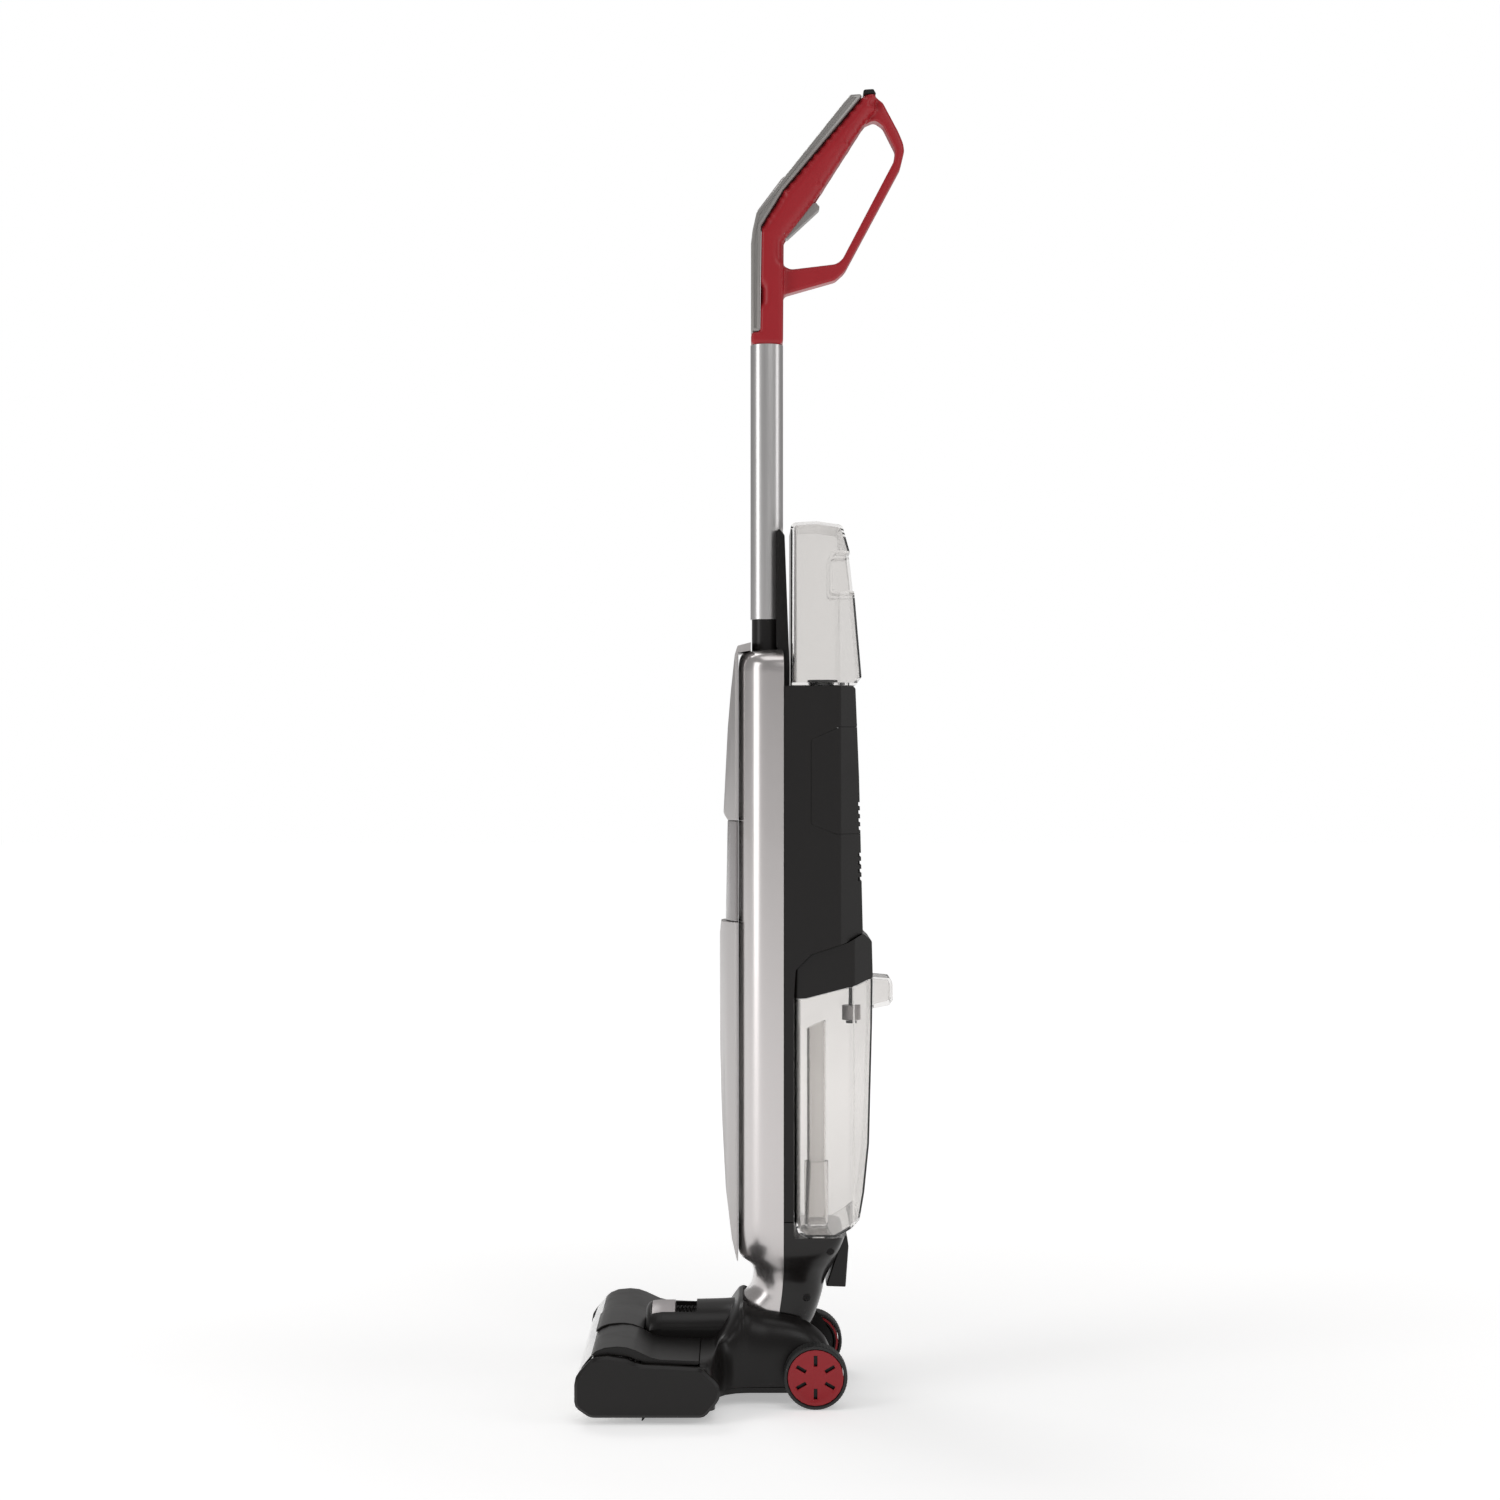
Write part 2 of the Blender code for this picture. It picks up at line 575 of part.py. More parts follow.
def make_wheel(side, word):
    """Wheel: a dished red hub with a boss, and a black tyre on its rim."""
    inner, outer = WHEEL_X
    centre = (0, WHEEL_Y, WHEEL_R)
    axis = (side, 0, 0)
    bore = AXLE_R + GAP
    hub = turned("wheel_hub_" + word, [(0, outer - 0.0022), (0.018, outer - 0.0030), (0.0215, outer - 0.0012),
                                       (HUB_R, outer - 0.0012), (HUB_R, inner + 0.001),
                                       (0.0220, inner + 0.001), (0.0220, outer - 0.0055),
                                       (0.0070, outer - 0.0055), (0.0070, inner), (bore, inner),
                                       (bore, outer - 0.0045), (0, outer - 0.0045)],
                 centre, axis, RED, 24)
    slots = hub_slots("slots_" + word, *sorted((side * (outer - 0.02), side * (outer + 0.01))))
    cut(hub, slots)
    tyre = turned("tyre_" + word, [(HUB_R + GAP, outer), (WHEEL_R - 0.002, outer), (WHEEL_R, outer - 0.002),
                                   (WHEEL_R, inner + 0.002), (WHEEL_R - 0.002, inner), (HUB_R + GAP, inner)],
                  centre, axis, SOFT_BLACK)
    axle = rod("axle_" + word, (side * (BOOT_HALF + WALL + GAP), WHEEL_Y, WHEEL_R),
               (side * (outer - 0.0050), WHEEL_Y, WHEEL_R), AXLE_R, STEEL)
    pin = rod("pivot_pin_" + word, (side * 0.0265, PIVOT_Y, PIVOT_Z), (side * 0.0590, PIVOT_Y, PIVOT_Z),
              PIN_R, STEEL)
    return hub, tyre, axle, pin


# ---------------------------------------------------------------- upright: casings
def front_view(inset):
    """Front view of the upright body: narrow neck below, full width above."""
    return both_sides([(NECK_HALF - inset, 0.0), (NECK_HALF - inset, 0.104, 0.020),
                       (BODY_HALF - inset, 0.137, 0.020), (BODY_HALF - inset, 0.640 - inset),
                       (BODY_HALF - 0.004 - inset, 0.670)])


def front_side(inset):
    """Side view of the bright front shell; an inset one runs out at the seam and below."""
    if not inset:
        return outline([(SEAM_Y, 0.640), (0.0271, 0.6554, 0.005), (-0.0047, 0.6509, 0.003),
                        (-0.0047, 0.1194), (0.0043, 0.1159, 0.003), (0.0085, 0.1048, 0.006),
                        (0.0047, 0.0897, 0.006), (0.0012, 0.0838), (0.0120, 0.0720), (0.0306, 0.0660),
                        (0.0338, 0.0939), (SEAM_Y, 0.1120)])
    return outline([(0.050, 0.6400), (0.0316, 0.6400), (0.0255, 0.6526, 0.003), (-0.0022, 0.6484),
                    (-0.0022, 0.1212), (0.0064, 0.1176, 0.002), (0.0111, 0.1049, 0.004),
                    (0.0072, 0.0885, 0.004), (0.0042, 0.0848), (0.0042, 0.0500), (0.050, 0.0500)])


def front_plan(inset):
    half = BODY_HALF - inset
    return both_sides([(half, -0.0047 + inset, 0.014 - inset), (half, SEAM_Y + inset * 4)])


def make_front_shell():
    """Bright front half of the body and neck, open at its rear seam and below."""
    shell = prism("front_shell", [front_plan(0)], 0.05, 0.67, "Z", SILVER)
    common(shell, prism("front_shell_side", [front_side(0)], -0.1, 0.1, "X"),
           prism("front_shell_front", [front_view(0)], -0.05, 0.1, "Y"))
    hollow = prism("front_hollow", [front_plan(WALL)], 0.03, 0.67, "Z")
    common(hollow, prism("front_hollow_side", [front_side(WALL)], -0.1, 0.1, "X"),
           prism("front_hollow_front", [front_view(WALL)], -0.06, 0.11, "Y"))
    collar_hole = prism("collar_hole", [tube_section(0.0004 - 0.0012)], 0.63, 0.68, "Z")
    return cut(shell, hollow, collar_hole)


def rear_plan(inset, front):
    half = BODY_HALF - inset
    return both_sides([(half, front), (half, 0.084 - inset * 0.3, 0.003), (0.046 - inset * 0.5, 0.1045 - inset,
                       0.003)])


def rear_side(inset):
    """Side view of the black rear shell: upper housing and the narrow spine below it."""
    if not inset:
        return outline([(SEAM_Y + GAP, 0.1570), (0.0434, 0.1570), (0.0434, 0.3500), (0.0451, 0.3750),
                        (0.0588, 0.3888), (0.0900, 0.3991), (0.1038, 0.4073, 0.001), (0.1004, 0.5430),
                        (0.0972, 0.6195, 0.002), (0.0950, 0.6216), (SEAM_Y + GAP, 0.6216)])
    return outline([(0.030, 0.1595), (0.0409, 0.1595), (0.0409, 0.3510), (0.0427, 0.3765),
                    (0.0575, 0.3912), (0.0890, 0.4016), (0.1013, 0.4090), (0.0979, 0.5430),
                    (0.0948, 0.6170), (0.0930, 0.6191), (0.030, 0.6191)])


def hatch_side(inset):
    """Side view of the battery hatch that wraps round the rear."""
    return outline([(0.12, 0.5862 - inset), (0.0834, 0.5862 - inset, 0.003), (0.0583 + inset, 0.5750, 0.003),
                    (0.0583 + inset, 0.5017, 0.003), (0.0799, 0.4930 + inset, 0.003),
                    (0.12, 0.4930 + inset)])


def vent_cutters(name, first_z, floor_y):
    """Four slots one above the other at each rear corner, wrapping on to the facet."""
    cutters = []
    for row in range(4):
        low = first_z + 0.007 * row
        for side in (-1, 1):
            x = sorted((side * 0.014, side * 0.0495))
            cutters.append(box(name, (x[0], floor_y, low), (x[1], 0.12, low + 0.0035)))
    return cutters


def rear_solid(name, inset, front, skin=None):
    solid = prism(name, [rear_plan(inset, front)], 0.13, 0.64, "Z", skin)
    return common(solid, prism(name + "_side", [rear_side(inset)], -0.1, 0.1, "X"))


def make_rear_shell():
    """Black rear housing, open in front, with the hatch opening, vents and ports."""
    shell = rear_solid("rear_shell", 0, SEAM_Y + GAP, BLACK)
    hollow = rear_solid("rear_hollow", WALL, 0.030)
    opening = prism("hatch_opening", [hatch_side(0)], -0.1, 0.1, "X")
    fan_port = rod("fan_port", (0, MOTOR_AXIS_Y, 0.37), (0, MOTOR_AXIS_Y, 0.42), 0.012)
    cap_port = rod("cap_port", (0, CAP_Y, 0.60), (0, CAP_Y, 0.64), 0.0185, sides=32)
    cut(shell, hollow, opening, fan_port, cap_port)
    return cut(shell, *vent_cutters("lower_vent", 0.4520, 0.0995))


def make_battery():
    """Battery pack: a vented, wrap-round hatch with the cell case behind it."""
    hatch = rear_solid("battery_hatch", 0, SEAM_Y + GAP, BLACK)
    hollow = rear_solid("hatch_hollow", WALL, 0.030)
    common(hatch, prism("hatch_edge", [hatch_side(GAP)], -0.1, 0.1, "X"))
    notch = box("hatch_notch", (-0.012, 0.0978, 0.5590), (0.012, 0.12, 0.5660))
    cut(hatch, hollow, notch, *vent_cutters("hatch_vent", 0.4960, 0.0985))
    case = bevel(box("battery_case", (-0.040, 0.0450, 0.4985), (0.040, 0.0950, 0.5810), BLACK), 0.004, 2)
    return hatch, case


def neck_side(inset):
    """Side view of the black half of the neck, with the knuckle round the pivot."""
    reach = KNUCKLE_R
    if not inset:
        return outline([(SEAM_Y + GAP, 0.1562), (SEAM_Y + GAP, 0.1120), (0.0341, 0.0939), (0.0309, 0.0660),
                        (PIVOT_Y - reach, PIVOT_Z + 0.01), (PIVOT_Y - reach, PIVOT_Z - reach, reach * 0.98),
                        (PIVOT_Y + reach, PIVOT_Z - reach, reach * 0.98), (0.0620, 0.0600),
                        (0.0640, 0.0700), (0.0693, 0.0888), (0.0788, 0.1154), (0.0885, 0.1421),
                        (0.0540, 0.1418), (0.0465, 0.1459),
                        (0.0430, 0.1562)])
    return outline([(0.0250, 0.1537), (0.0250, 0.0700), (0.0590, 0.0700), (0.0615, 0.0712),
                    (0.0669, 0.0896), (0.0764, 0.1162), (0.0849, 0.1393), (0.0532, 0.1390),
                    (0.0446, 0.1442), (0.0410, 0.1537)])


def make_neck_shell():
    """Black rear half of the neck, with the knuckle's bores and the duct's port."""
    shell = prism("neck_shell", [neck_side(0)], -BODY_HALF, BODY_HALF, "X", BLACK)
    common(shell, prism("neck_front", [front_view(0)], 0.0, 0.12, "Y"))
    bevel(shell, 0.004, 1, 60)
    hollow = prism("neck_hollow", [neck_side(WALL)], -BODY_HALF + WALL, BODY_HALF - WALL, "X")
    common(hollow, prism("neck_hollow_front", [front_view(WALL)], 0.0, 0.12, "Y"))
    port = rod("duct_port", (0, STANDPIPE_Y, 0.13), (0, STANDPIPE_Y, 0.16), 0.0130)
    cut(shell, hollow, port)
    for side in (-1, 1):
        cut(shell, rod("knuckle_bore", (side * 0.0262, PIVOT_Y, PIVOT_Z), (side * 0.05, PIVOT_Y, PIVOT_Z),
                       PIN_R + 0.0001))
    for y, z, half in SCREWS:
        cut(shell, rod("screw_hole", (half - 0.0070, y, z), (half + 0.02, y, z), 0.0034))
    return shell


SCREWS = ((0.0755, 0.1300, 0.0560), (0.0550, 0.0870, NECK_HALF))


def make_neck_screws():
    """Two cross-head screws sunk in the left side of the neck."""
    screws = []
    for (y, z, half), word in zip(SCREWS, ("upper", "lower")):
        screw = rod("neck_screw_" + word, (half - 0.0066, y, z), (half - 0.0040, y, z), 0.0030, STEEL, 16)
        for size in ((0.0004, 0.0018), (0.0018, 0.0004)):
            cut(screw, box("recess", (half - 0.0052, y - size[0], z - size[1]),
                           (half, y + size[0], z + size[1])))
        screws.append(screw)
    return screws


def panel_plan(half, front, inset=0.0):
    """Plan of a raised panel: a shallow arch in front, open behind when it is a cutter."""
    half = half - inset
    rear = 0.0100 if not inset else 0.0300
    steps = 12
    arch = []
    for step in range(steps + 1):
        across = half * (1 - 2 * step / steps)
        bulge = (front + inset + 0.0075) * (1 - (across / half) ** 2)
        arch.append((across, -0.0075 + inset * 0.4 + bulge))
    return [(half, rear)] + arch + [(-half, rear)]


def make_panel(name, side, inner, half, front, skin):
    """Raised front panel as a thin shell, open towards the body."""
    lows = min(z for _, z in side) - 0.01
    highs = max(z for _, z in side) + 0.01
    panel = prism(name, [panel_plan(half, front)], lows, highs, "Z", skin)
    common(panel, prism(name + "_side", [side], -0.05, 0.05, "X"))
    hollow = prism(name + "_hollow", [panel_plan(half, front, 0.002)], lows, highs, "Z")
    common(hollow, prism(name + "_hollow_side", [inner], -0.045, 0.045, "X"))
    return cut(panel, hollow)


def make_front_panels():
    """Upper panel over the top edge, recessed insert, and long lower panel."""
    back = -0.0050
    upper = outline([(back, 0.6512), (back, 0.5045), (-0.0141, 0.5045), (-0.0172, 0.5092), (-0.0179, 0.5115),
                     (-0.0167, 0.5350), (-0.0141, 0.5855), (-0.0114, 0.6174), (-0.0079, 0.6494),
                     (-0.0055, 0.6572, 0.002), (0.0062, 0.6602), (0.0062, 0.6530)])
    upper_in = [(0.0, 0.6480), (0.0, 0.5065), (-0.0135, 0.5065), (-0.0155, 0.5110), (-0.0121, 0.5855),
                (-0.0070, 0.6480)]
    insert = [(back, 0.4160), (-0.0159, 0.4160), (-0.0142, 0.5038), (back, 0.5038)]
    insert_in = [(0.0, 0.4180), (-0.0139, 0.4180), (-0.0122, 0.5018), (0.0, 0.5018)]
    lower = [(back, 0.1196), (-0.0058, 0.1196), (-0.0105, 0.1385), (-0.0158, 0.1811), (-0.0194, 0.2449),
             (-0.0212, 0.3088), (-0.0212, 0.4046), (-0.0200, 0.4153), (back, 0.4153)]
    lower_in = [(0.0, 0.1500), (-0.0095, 0.1500), (-0.0138, 0.1813), (-0.0174, 0.2450), (-0.0192, 0.3090),
                (-0.0192, 0.4040), (-0.0182, 0.4133), (0.0, 0.4133)]
    return (make_panel("front_panel_upper", upper, upper_in, 0.0385, -0.0185, PANEL_GREY),
            make_panel("panel_insert", insert, insert_in, 0.0365, -0.0165, INSERT_GREY),
            make_panel("front_panel_lower", lower, lower_in, 0.0385, -0.0215, PANEL_GREY))


def make_charging_shroud():
    """Hollow shroud behind the neck, open below, where a charging plug goes in."""
    side = outline([(0.0722, 0.0936), (0.0897, 0.0930, 0.001), (0.0923, 0.1287, 0.004), (0.0910, 0.1380),
                    (0.0876, 0.1380), (0.0794, 0.1154)])
    pocket = [(0.0744, 0.0850), (0.0877, 0.0850), (0.0901, 0.1270), (0.0887, 0.1345), (0.0816, 0.1150)]
    shroud = bevel(prism("charging_shroud", [side], -0.018, 0.018, "X", BLACK), 0.0012, 1, 60)
    return cut(shroud, prism("shroud_pocket", [pocket], -0.0160, 0.0160, "X"))


# ---------------------------------------------------------------- upright: tube and cradle
def tube_section(grow):
    """Oval section of the handle tube, larger or smaller by a distance."""
    half_x = TUBE_SIZE[0] + grow
    half_y = TUBE_SIZE[1] + grow
    radius = half_y * 0.85
    return outline([(half_x, TUBE_Y - half_y, radius), (half_x, TUBE_Y + half_y, radius),
                    (-half_x, TUBE_Y + half_y, radius), (-half_x, TUBE_Y - half_y, radius)])


def make_handle_tube():
    return prism("handle_tube", [tube_section(0), tube_section(-TUBE_WALL)], *TUBE_Z, "Z", ALUMINIUM)


def make_tank_cradle():
    """Collar and spigot that hold the tube, with the back plate for the clean tank."""
    side = outline([(0.0353, 0.6220), (0.0402, 0.6220), (0.0402, 0.6400), (0.0359, 0.7547, 0.003),
                    (0.0288, 0.7634, 0.002), (0.0285, 0.6572), (0.0353, 0.6450)])
    cradle = prism("tank_cradle", [side], -0.026, 0.026, "X", BLACK)
    room = prism("tube_room", [tube_section(GAP)], TUBE_Z[0] - GAP, 0.80, "Z")
    collar = prism("collar", [tube_section(-0.0012)], 0.6455, 0.6810, "Z")
    shoulder = prism("collar_shoulder", [[(-0.002, 0.64), (0.0277, 0.6562), (0.0350, 0.6420),
                                          (0.0350, 0.63), (-0.002, 0.63)]], -0.1, 0.1, "X")
    spigot = prism("spigot", [tube_section(-TUBE_WALL - GAP)], 0.6790, 0.7150, "Z")
    bore = rod("wire_bore", (0, TUBE_Y, 0.60), (0, TUBE_Y, 0.75), 0.0070)
    cut(cradle, room)
    join(cradle, collar, spigot)
    return cut(cradle, bore)


# ---------------------------------------------------------------- handle
FRONT_EDGE = [(0.0063, 0.9354), (0.0063, 1.0126), (0.0077, 1.0245), (0.0111, 1.0398), (0.0374, 1.0737),
              (0.0874, 1.1365), (0.0941, 1.1441), (0.1052, 1.1450)]
TRIM_EDGE = [(0.0140, 0.9354), (0.0152, 1.0281), (0.0347, 1.0600), (0.1040, 1.1425)]
GRIP_REAR = [(0.1172, 1.1452), (0.1154, 1.1300), (0.1044, 1.1162), (0.0637, 1.0525), (0.0353, 1.0160),
             (0.0350, 0.9750), (0.0347, 0.9240)]
LOOP_INNER_RUN = [(0.0220, 0.9600), (0.0220, 1.0150), (0.0600, 1.0650), (0.1050, 1.1340)]
LOOP_EDGE = [(0.1160, 1.1440), (0.1231, 1.1382), (0.1367, 1.1127), (0.1409, 1.1026), (0.1420, 1.0958),
             (0.1383, 1.0804), (0.0892, 0.9889, 0.010), (0.0807, 0.9813), (0.0356, 0.9685, 0.003),
             (0.0335, 0.9600)]
HOLE = [(0.1154, 1.1233, 0.004), (0.1231, 1.1178, 0.004), (0.1341, 1.0958, 0.004), (0.1325, 1.0865, 0.004),
        (0.0866, 0.9990, 0.008), (0.0807, 0.9957, 0.004), (0.0416, 0.9910, 0.003), (0.0320, 0.9956, 0.002),
        (0.0320, 1.0160, 0.003), (0.0604, 1.0525), (0.1011, 1.1162)]


def make_handle_shell(side, word):
    """Half of the red handle: thick grip and socket, thinner bars round the loop."""
    behind = [(y + GAP, z - GAP) for y, z in TRIM_EDGE]
    front = [(0.0063, 0.9240), (0.0063, 0.9351), *behind, (0.1055, 1.1447)]
    shell = prism("handle_shell_" + word, [front + GRIP_REAR], -GRIP_HALF, GRIP_HALF, "X", RED)
    bevel(shell, 0.0045, 2, 50)
    bars = prism("loop_" + word, [outline(LOOP_INNER_RUN + LOOP_EDGE), outline(HOLE)],
                 -BAR_HALF, BAR_HALF, "X")
    bevel(bars, 0.0022, 1, 50)
    cavity = prism("grip_cavity_" + word, [[(0.0170, 0.9400), (0.0320, 0.9400), (0.0325, 1.0160),
                                            (0.0612, 1.0540), (0.0990, 1.1130), (0.0980, 1.1300),
                                            (0.0376, 1.0590), (0.0180, 1.0275)]],
                   WALL - GRIP_HALF, GRIP_HALF - WALL, "X")
    slot = prism("trigger_slot_" + word, [[(0.0300, 1.0150), (0.0390, 1.0100), (0.0720, 1.0430),
                                           (0.0680, 1.0600), (0.0600, 1.0600)]], -0.0080, 0.0080, "X")
    spigot = prism("handle_spigot_" + word, [tube_section(-TUBE_WALL - GAP)], 0.8900, 0.9300, "Z")
    wires = rod("wire_way", (0, TUBE_Y + 0.002, 0.87), (0, TUBE_Y + 0.004, 0.96), 0.0060)
    trim_room = prism("trim_room", [[(0.0, 0.9352), (0.0142, 0.9352), (0.0154, 1.0280), (0.0349, 1.0598),
                                     (0.1044, 1.1425), (0.1044, 1.1600), (0.0, 1.1600)]], -0.05, 0.05, "X")
    x = sorted((side * GAP / 2, side * 0.05))
    half_room = box("half_room", (x[0], -0.05, 0.85), (x[1], 0.20, 1.20))
    join(shell, bars, spigot)
    cut(shell, cavity, slot, wires, trim_room)
    return common(shell, half_room)


def make_handle_trim():
    """Grey strip along the front of the handle, with a pocket for the mode button."""
    edge = outline([*FRONT_EDGE[:-1], (0.1037, 1.1447), *reversed(TRIM_EDGE)])
    trim = bevel(prism("handle_trim", [edge], -0.0155, 0.0155, "X", TRIM_GREY), 0.0022, 2, 50)
    pocket = prism("button_pocket", [[(0.0080, 1.0430), (0.0158, 1.0400), (0.0400, 1.0710),
                                      (0.0300, 1.0800)]], -0.0085, 0.0085, "X")
    return cut(trim, pocket)


def make_mode_button():
    """Long button near the top of the trim, pressed straight in."""
    side = outline([(0.0118, 1.0428), (0.0131, 1.0418), (0.0373, 1.0728), (0.0363, 1.0737),
                    (0.0331, 1.0712), (0.0145, 1.0464)])
    return prism("mode_button", [side], -0.0080, 0.0080, "X", BUTTON_GREY)


def make_handle_end_cap():
    side = outline([(0.1058, 1.1455), (0.1168, 1.1456), (0.1145, 1.1497, 0.001), (0.1052, 1.1492, 0.002)])
    cap = prism("handle_end_cap", [side], -0.0120, 0.0120, "X", BLACK)
    top = box("top_limit", (-0.02, 0.09, 1.14), (0.02, 0.13, 1.15))
    return common(cap, top)


def make_trigger():
    """Trigger under the grip, turning on a pin at its lower end."""
    side = outline([(0.0330, 1.0200), (0.0383, 1.0183, 0.001), (0.0662, 1.0441, 0.0015),
                    (0.0671, 1.0465, 0.001), (0.0640, 1.0500), (0.0560, 1.0490), (0.0330, 1.0255)])
    trigger = prism("trigger", [side], -0.0072, 0.0072, "X", TRIM_GREY)
    bore = rod("trigger_bore", (-0.02, *TRIGGER_PIVOT), (0.02, *TRIGGER_PIVOT), 0.0012 + GAP / 3)
    pin = rod("trigger_pin", (-0.0137, *TRIGGER_PIVOT), (0.0137, *TRIGGER_PIVOT), 0.0012, STEEL, 16)
    return cut(trigger, bore), pin


TRIGGER_PIVOT = (0.0350, 1.0222)


# ---------------------------------------------------------------- upright: insides
def make_vacuum_motor():
    motor = turned("vacuum_motor", [(0, 0.490), (0.012, 0.490), (0.012, 0.484), (0.0265, 0.484),
                                    (0.0265, 0.437), (0, 0.437)], (0, MOTOR_AXIS_Y, 0), (0, 0, 1), STEEL, 32)
    return cut(motor, rod("shaft_bore", (0, MOTOR_AXIS_Y, 0.42), (0, MOTOR_AXIS_Y, 0.450), 0.0025 + GAP))


def make_impeller():
    """Fan wheel with seven blades on the vacuum motor's shaft."""
    fan = turned("impeller", [(0, 0.449), (0.0025, 0.449), (0.0025, 0.431), (0.006, 0.430), (0.0235, 0.430),
                              (0.0235, 0.4285), (0.006, 0.4285), (0.005, 0.4160), (0, 0.4160)],
                 (0, MOTOR_AXIS_Y, 0), (0, 0, 1), BUTTON_GREY, 24)
    for index in range(7):
        blade = box("blade", (0.0045, -0.0006, 0.4180), (0.0225, 0.0006, 0.4290))
        blade.matrix_world = (Matrix.Translation((0, MOTOR_AXIS_Y, 0))
                              @ Matrix.Rotation(math.tau * index / 7, 4, "Z")
                              @ blade.matrix_basis)
        join(fan, blade)
    return fan


def make_fan_housing():
    return turned("fan_housing", [(0.0275, 0.4340), (0.0275, 0.4098), (0.0100, 0.4098), (0.0100, 0.4118),
                                  (0.0255, 0.4118), (0.0255, 0.4340)],
                  (0, MOTOR_AXIS_Y, 0), (0, 0, 1), BLACK, 32)


def make_pump():
    """Small water pump: round motor below a square head."""
    pump = rod("water_pump", (-0.012, 0.018, 0.235), (-0.012, 0.018, 0.275), 0.0120, STEEL, 24)
    return join(pump, box("pump_head", (-0.026, 0.004, 0.270), (0.002, 0.032, 0.292)))


def make_water_tube():
    """Thin tube from below the clean tank down to the pump."""
    route = [(-0.020, 0.052, 0.6140), (-0.030, 0.040, 0.6050), (-0.042, 0.026, 0.5850), (-0.048, 0.022, 0.5400),
             (-0.048, 0.022, 0.4200), (-0.040, 0.020, 0.3400), (-0.020, 0.018, 0.3080), (-0.012, 0.018, 0.2935)]
    return hose("water_tube", route, 0.0030, 0.0009, CLEAR, 2, 1)


def make_control_board():
    board = box("control_board", (-0.035, 0.0040, BOARD_Z[0]), (0.035, 0.0056, BOARD_Z[1]), BOARD_GREEN)
    chips = [(-0.020, 0.450, 0.012, 0.004), (0.010, 0.470, 0.009, 0.006), (-0.008, 0.510, 0.007, 0.008),
             (0.018, 0.535, 0.010, 0.005)]
    for x, z, half, tall in chips:
        join(board, box("chip", (x - half, 0.0050, z - half), (x + half, 0.0056 + tall, z + half)))
    return board


def make_neck_duct():
    """Air and water duct from the hose up to the dirty tank's inlet."""
    route = [(0, 0.0180, 0.0765), (0, 0.0255, 0.0940), (0, 0.0430, 0.1110), (0, 0.0620, 0.1260),
             (0, STANDPIPE_Y, 0.1390)]
    return hose("neck_duct", route, 0.0110, 0.0014, BLACK, 2, 2)


# ---------------------------------------------------------------- tanks
def tank_plan(inset, front, facet, rear):
    half = TANK_HALF - inset
    return both_sides([(half, front + inset, 0.004), (half, facet - inset * 0.3, 0.003),
                       (0.0440 - inset * 0.5, rear - inset, 0.006)])


def clean_side(inset):
    i = inset
    return outline([(0.0408 + i, 0.6223 + i), (0.0974 - i, 0.6223 + i, 0.002), (0.1027 - i, 0.6295, 0.002),
                    (0.0955 - i, 0.7110), (0.0924 - i, 0.7374), (0.0855 - i * 0.8, 0.7614 - i, 0.004),
                    (0.0630, 0.7645 - i), (0.0409 + i, 0.7632 - i, 0.004)])


def clean_solid(name, inset, skin=None):
    solid = prism(name, [tank_plan(inset, 0.0406, 0.083, 0.1035)], 0.61, 0.78, "Z", skin)
    return common(solid, prism(name + "_side", [clean_side(inset)], -0.1, 0.1, "X"))


def finger_pockets(name, grow):
    """Recesses at both rear corners of the clean tank, with a rib left between them."""
    side = outline([(0.0770 - grow, 0.7040 - grow, 0.004), (0.1300, 0.7040 - grow),
                    (0.1300, 0.7370 + grow), (0.0770 - grow, 0.7370 + grow, 0.004)])
    return [prism(name, [side], *sorted((s * (0.018 - grow), s * 0.10)), "X") for s in (-1, 1)]


def make_clean_tank():
    """Clear tank for clean water, with finger pockets and a filler hole below."""
    tank = clean_solid("clean_tank", 0, CLEAR)
    cut(tank, *finger_pockets("finger_pocket", 0.0))
    hollow = clean_solid("clean_hollow", CLEAR_WALL)
    cut(hollow, *finger_pockets("pocket_wall", CLEAR_WALL))
    filler = rod("filler_hole", (0, CAP_Y, 0.60), (0, CAP_Y, 0.63), 0.0140, sides=32)
    return cut(tank, hollow, filler)


def make_clean_tank_cap():
    return turned("clean_tank_cap", [(0, 0.6280), (0.0137, 0.6280), (0.0137, 0.6220), (0.0170, 0.6220),
                                     (0.0170, 0.6170), (0, 0.6170)], (0, CAP_Y, 0), (0, 0, 1), BLACK, 32)


def dirty_side(inset):
    if not inset:
        return outline([(0.0439, 0.3495), (0.0439, 0.1566), (0.0474, 0.1469, 0.002), (0.0545, 0.1425),
                        (0.0800, 0.1427), (0.0930, 0.1505, 0.003), (0.1006, 0.1580, 0.003), (0.1048, 0.1811),
                        (0.1092, 0.2236), (0.1119, 0.3265), (0.1125, 0.3674), (0.0981, 0.3613),
                        (0.0542, 0.3500)])
    return [(0.0462, 0.3700), (0.0462, 0.1572), (0.0492, 0.1485), (0.0552, 0.1448), (0.0792, 0.1450),
            (0.0915, 0.1524), (0.0986, 0.1590), (0.1025, 0.1813), (0.1069, 0.2238), (0.1096, 0.3266),
            (0.1100, 0.3800)]


def dirty_solid(name, inset, skin=None):
    solid = prism(name, [tank_plan(inset, 0.0437, 0.096, 0.1130)], 0.13, 0.38, "Z", skin)
    return common(solid, prism(name + "_side", [dirty_side(inset)], -0.1, 0.1, "X"))


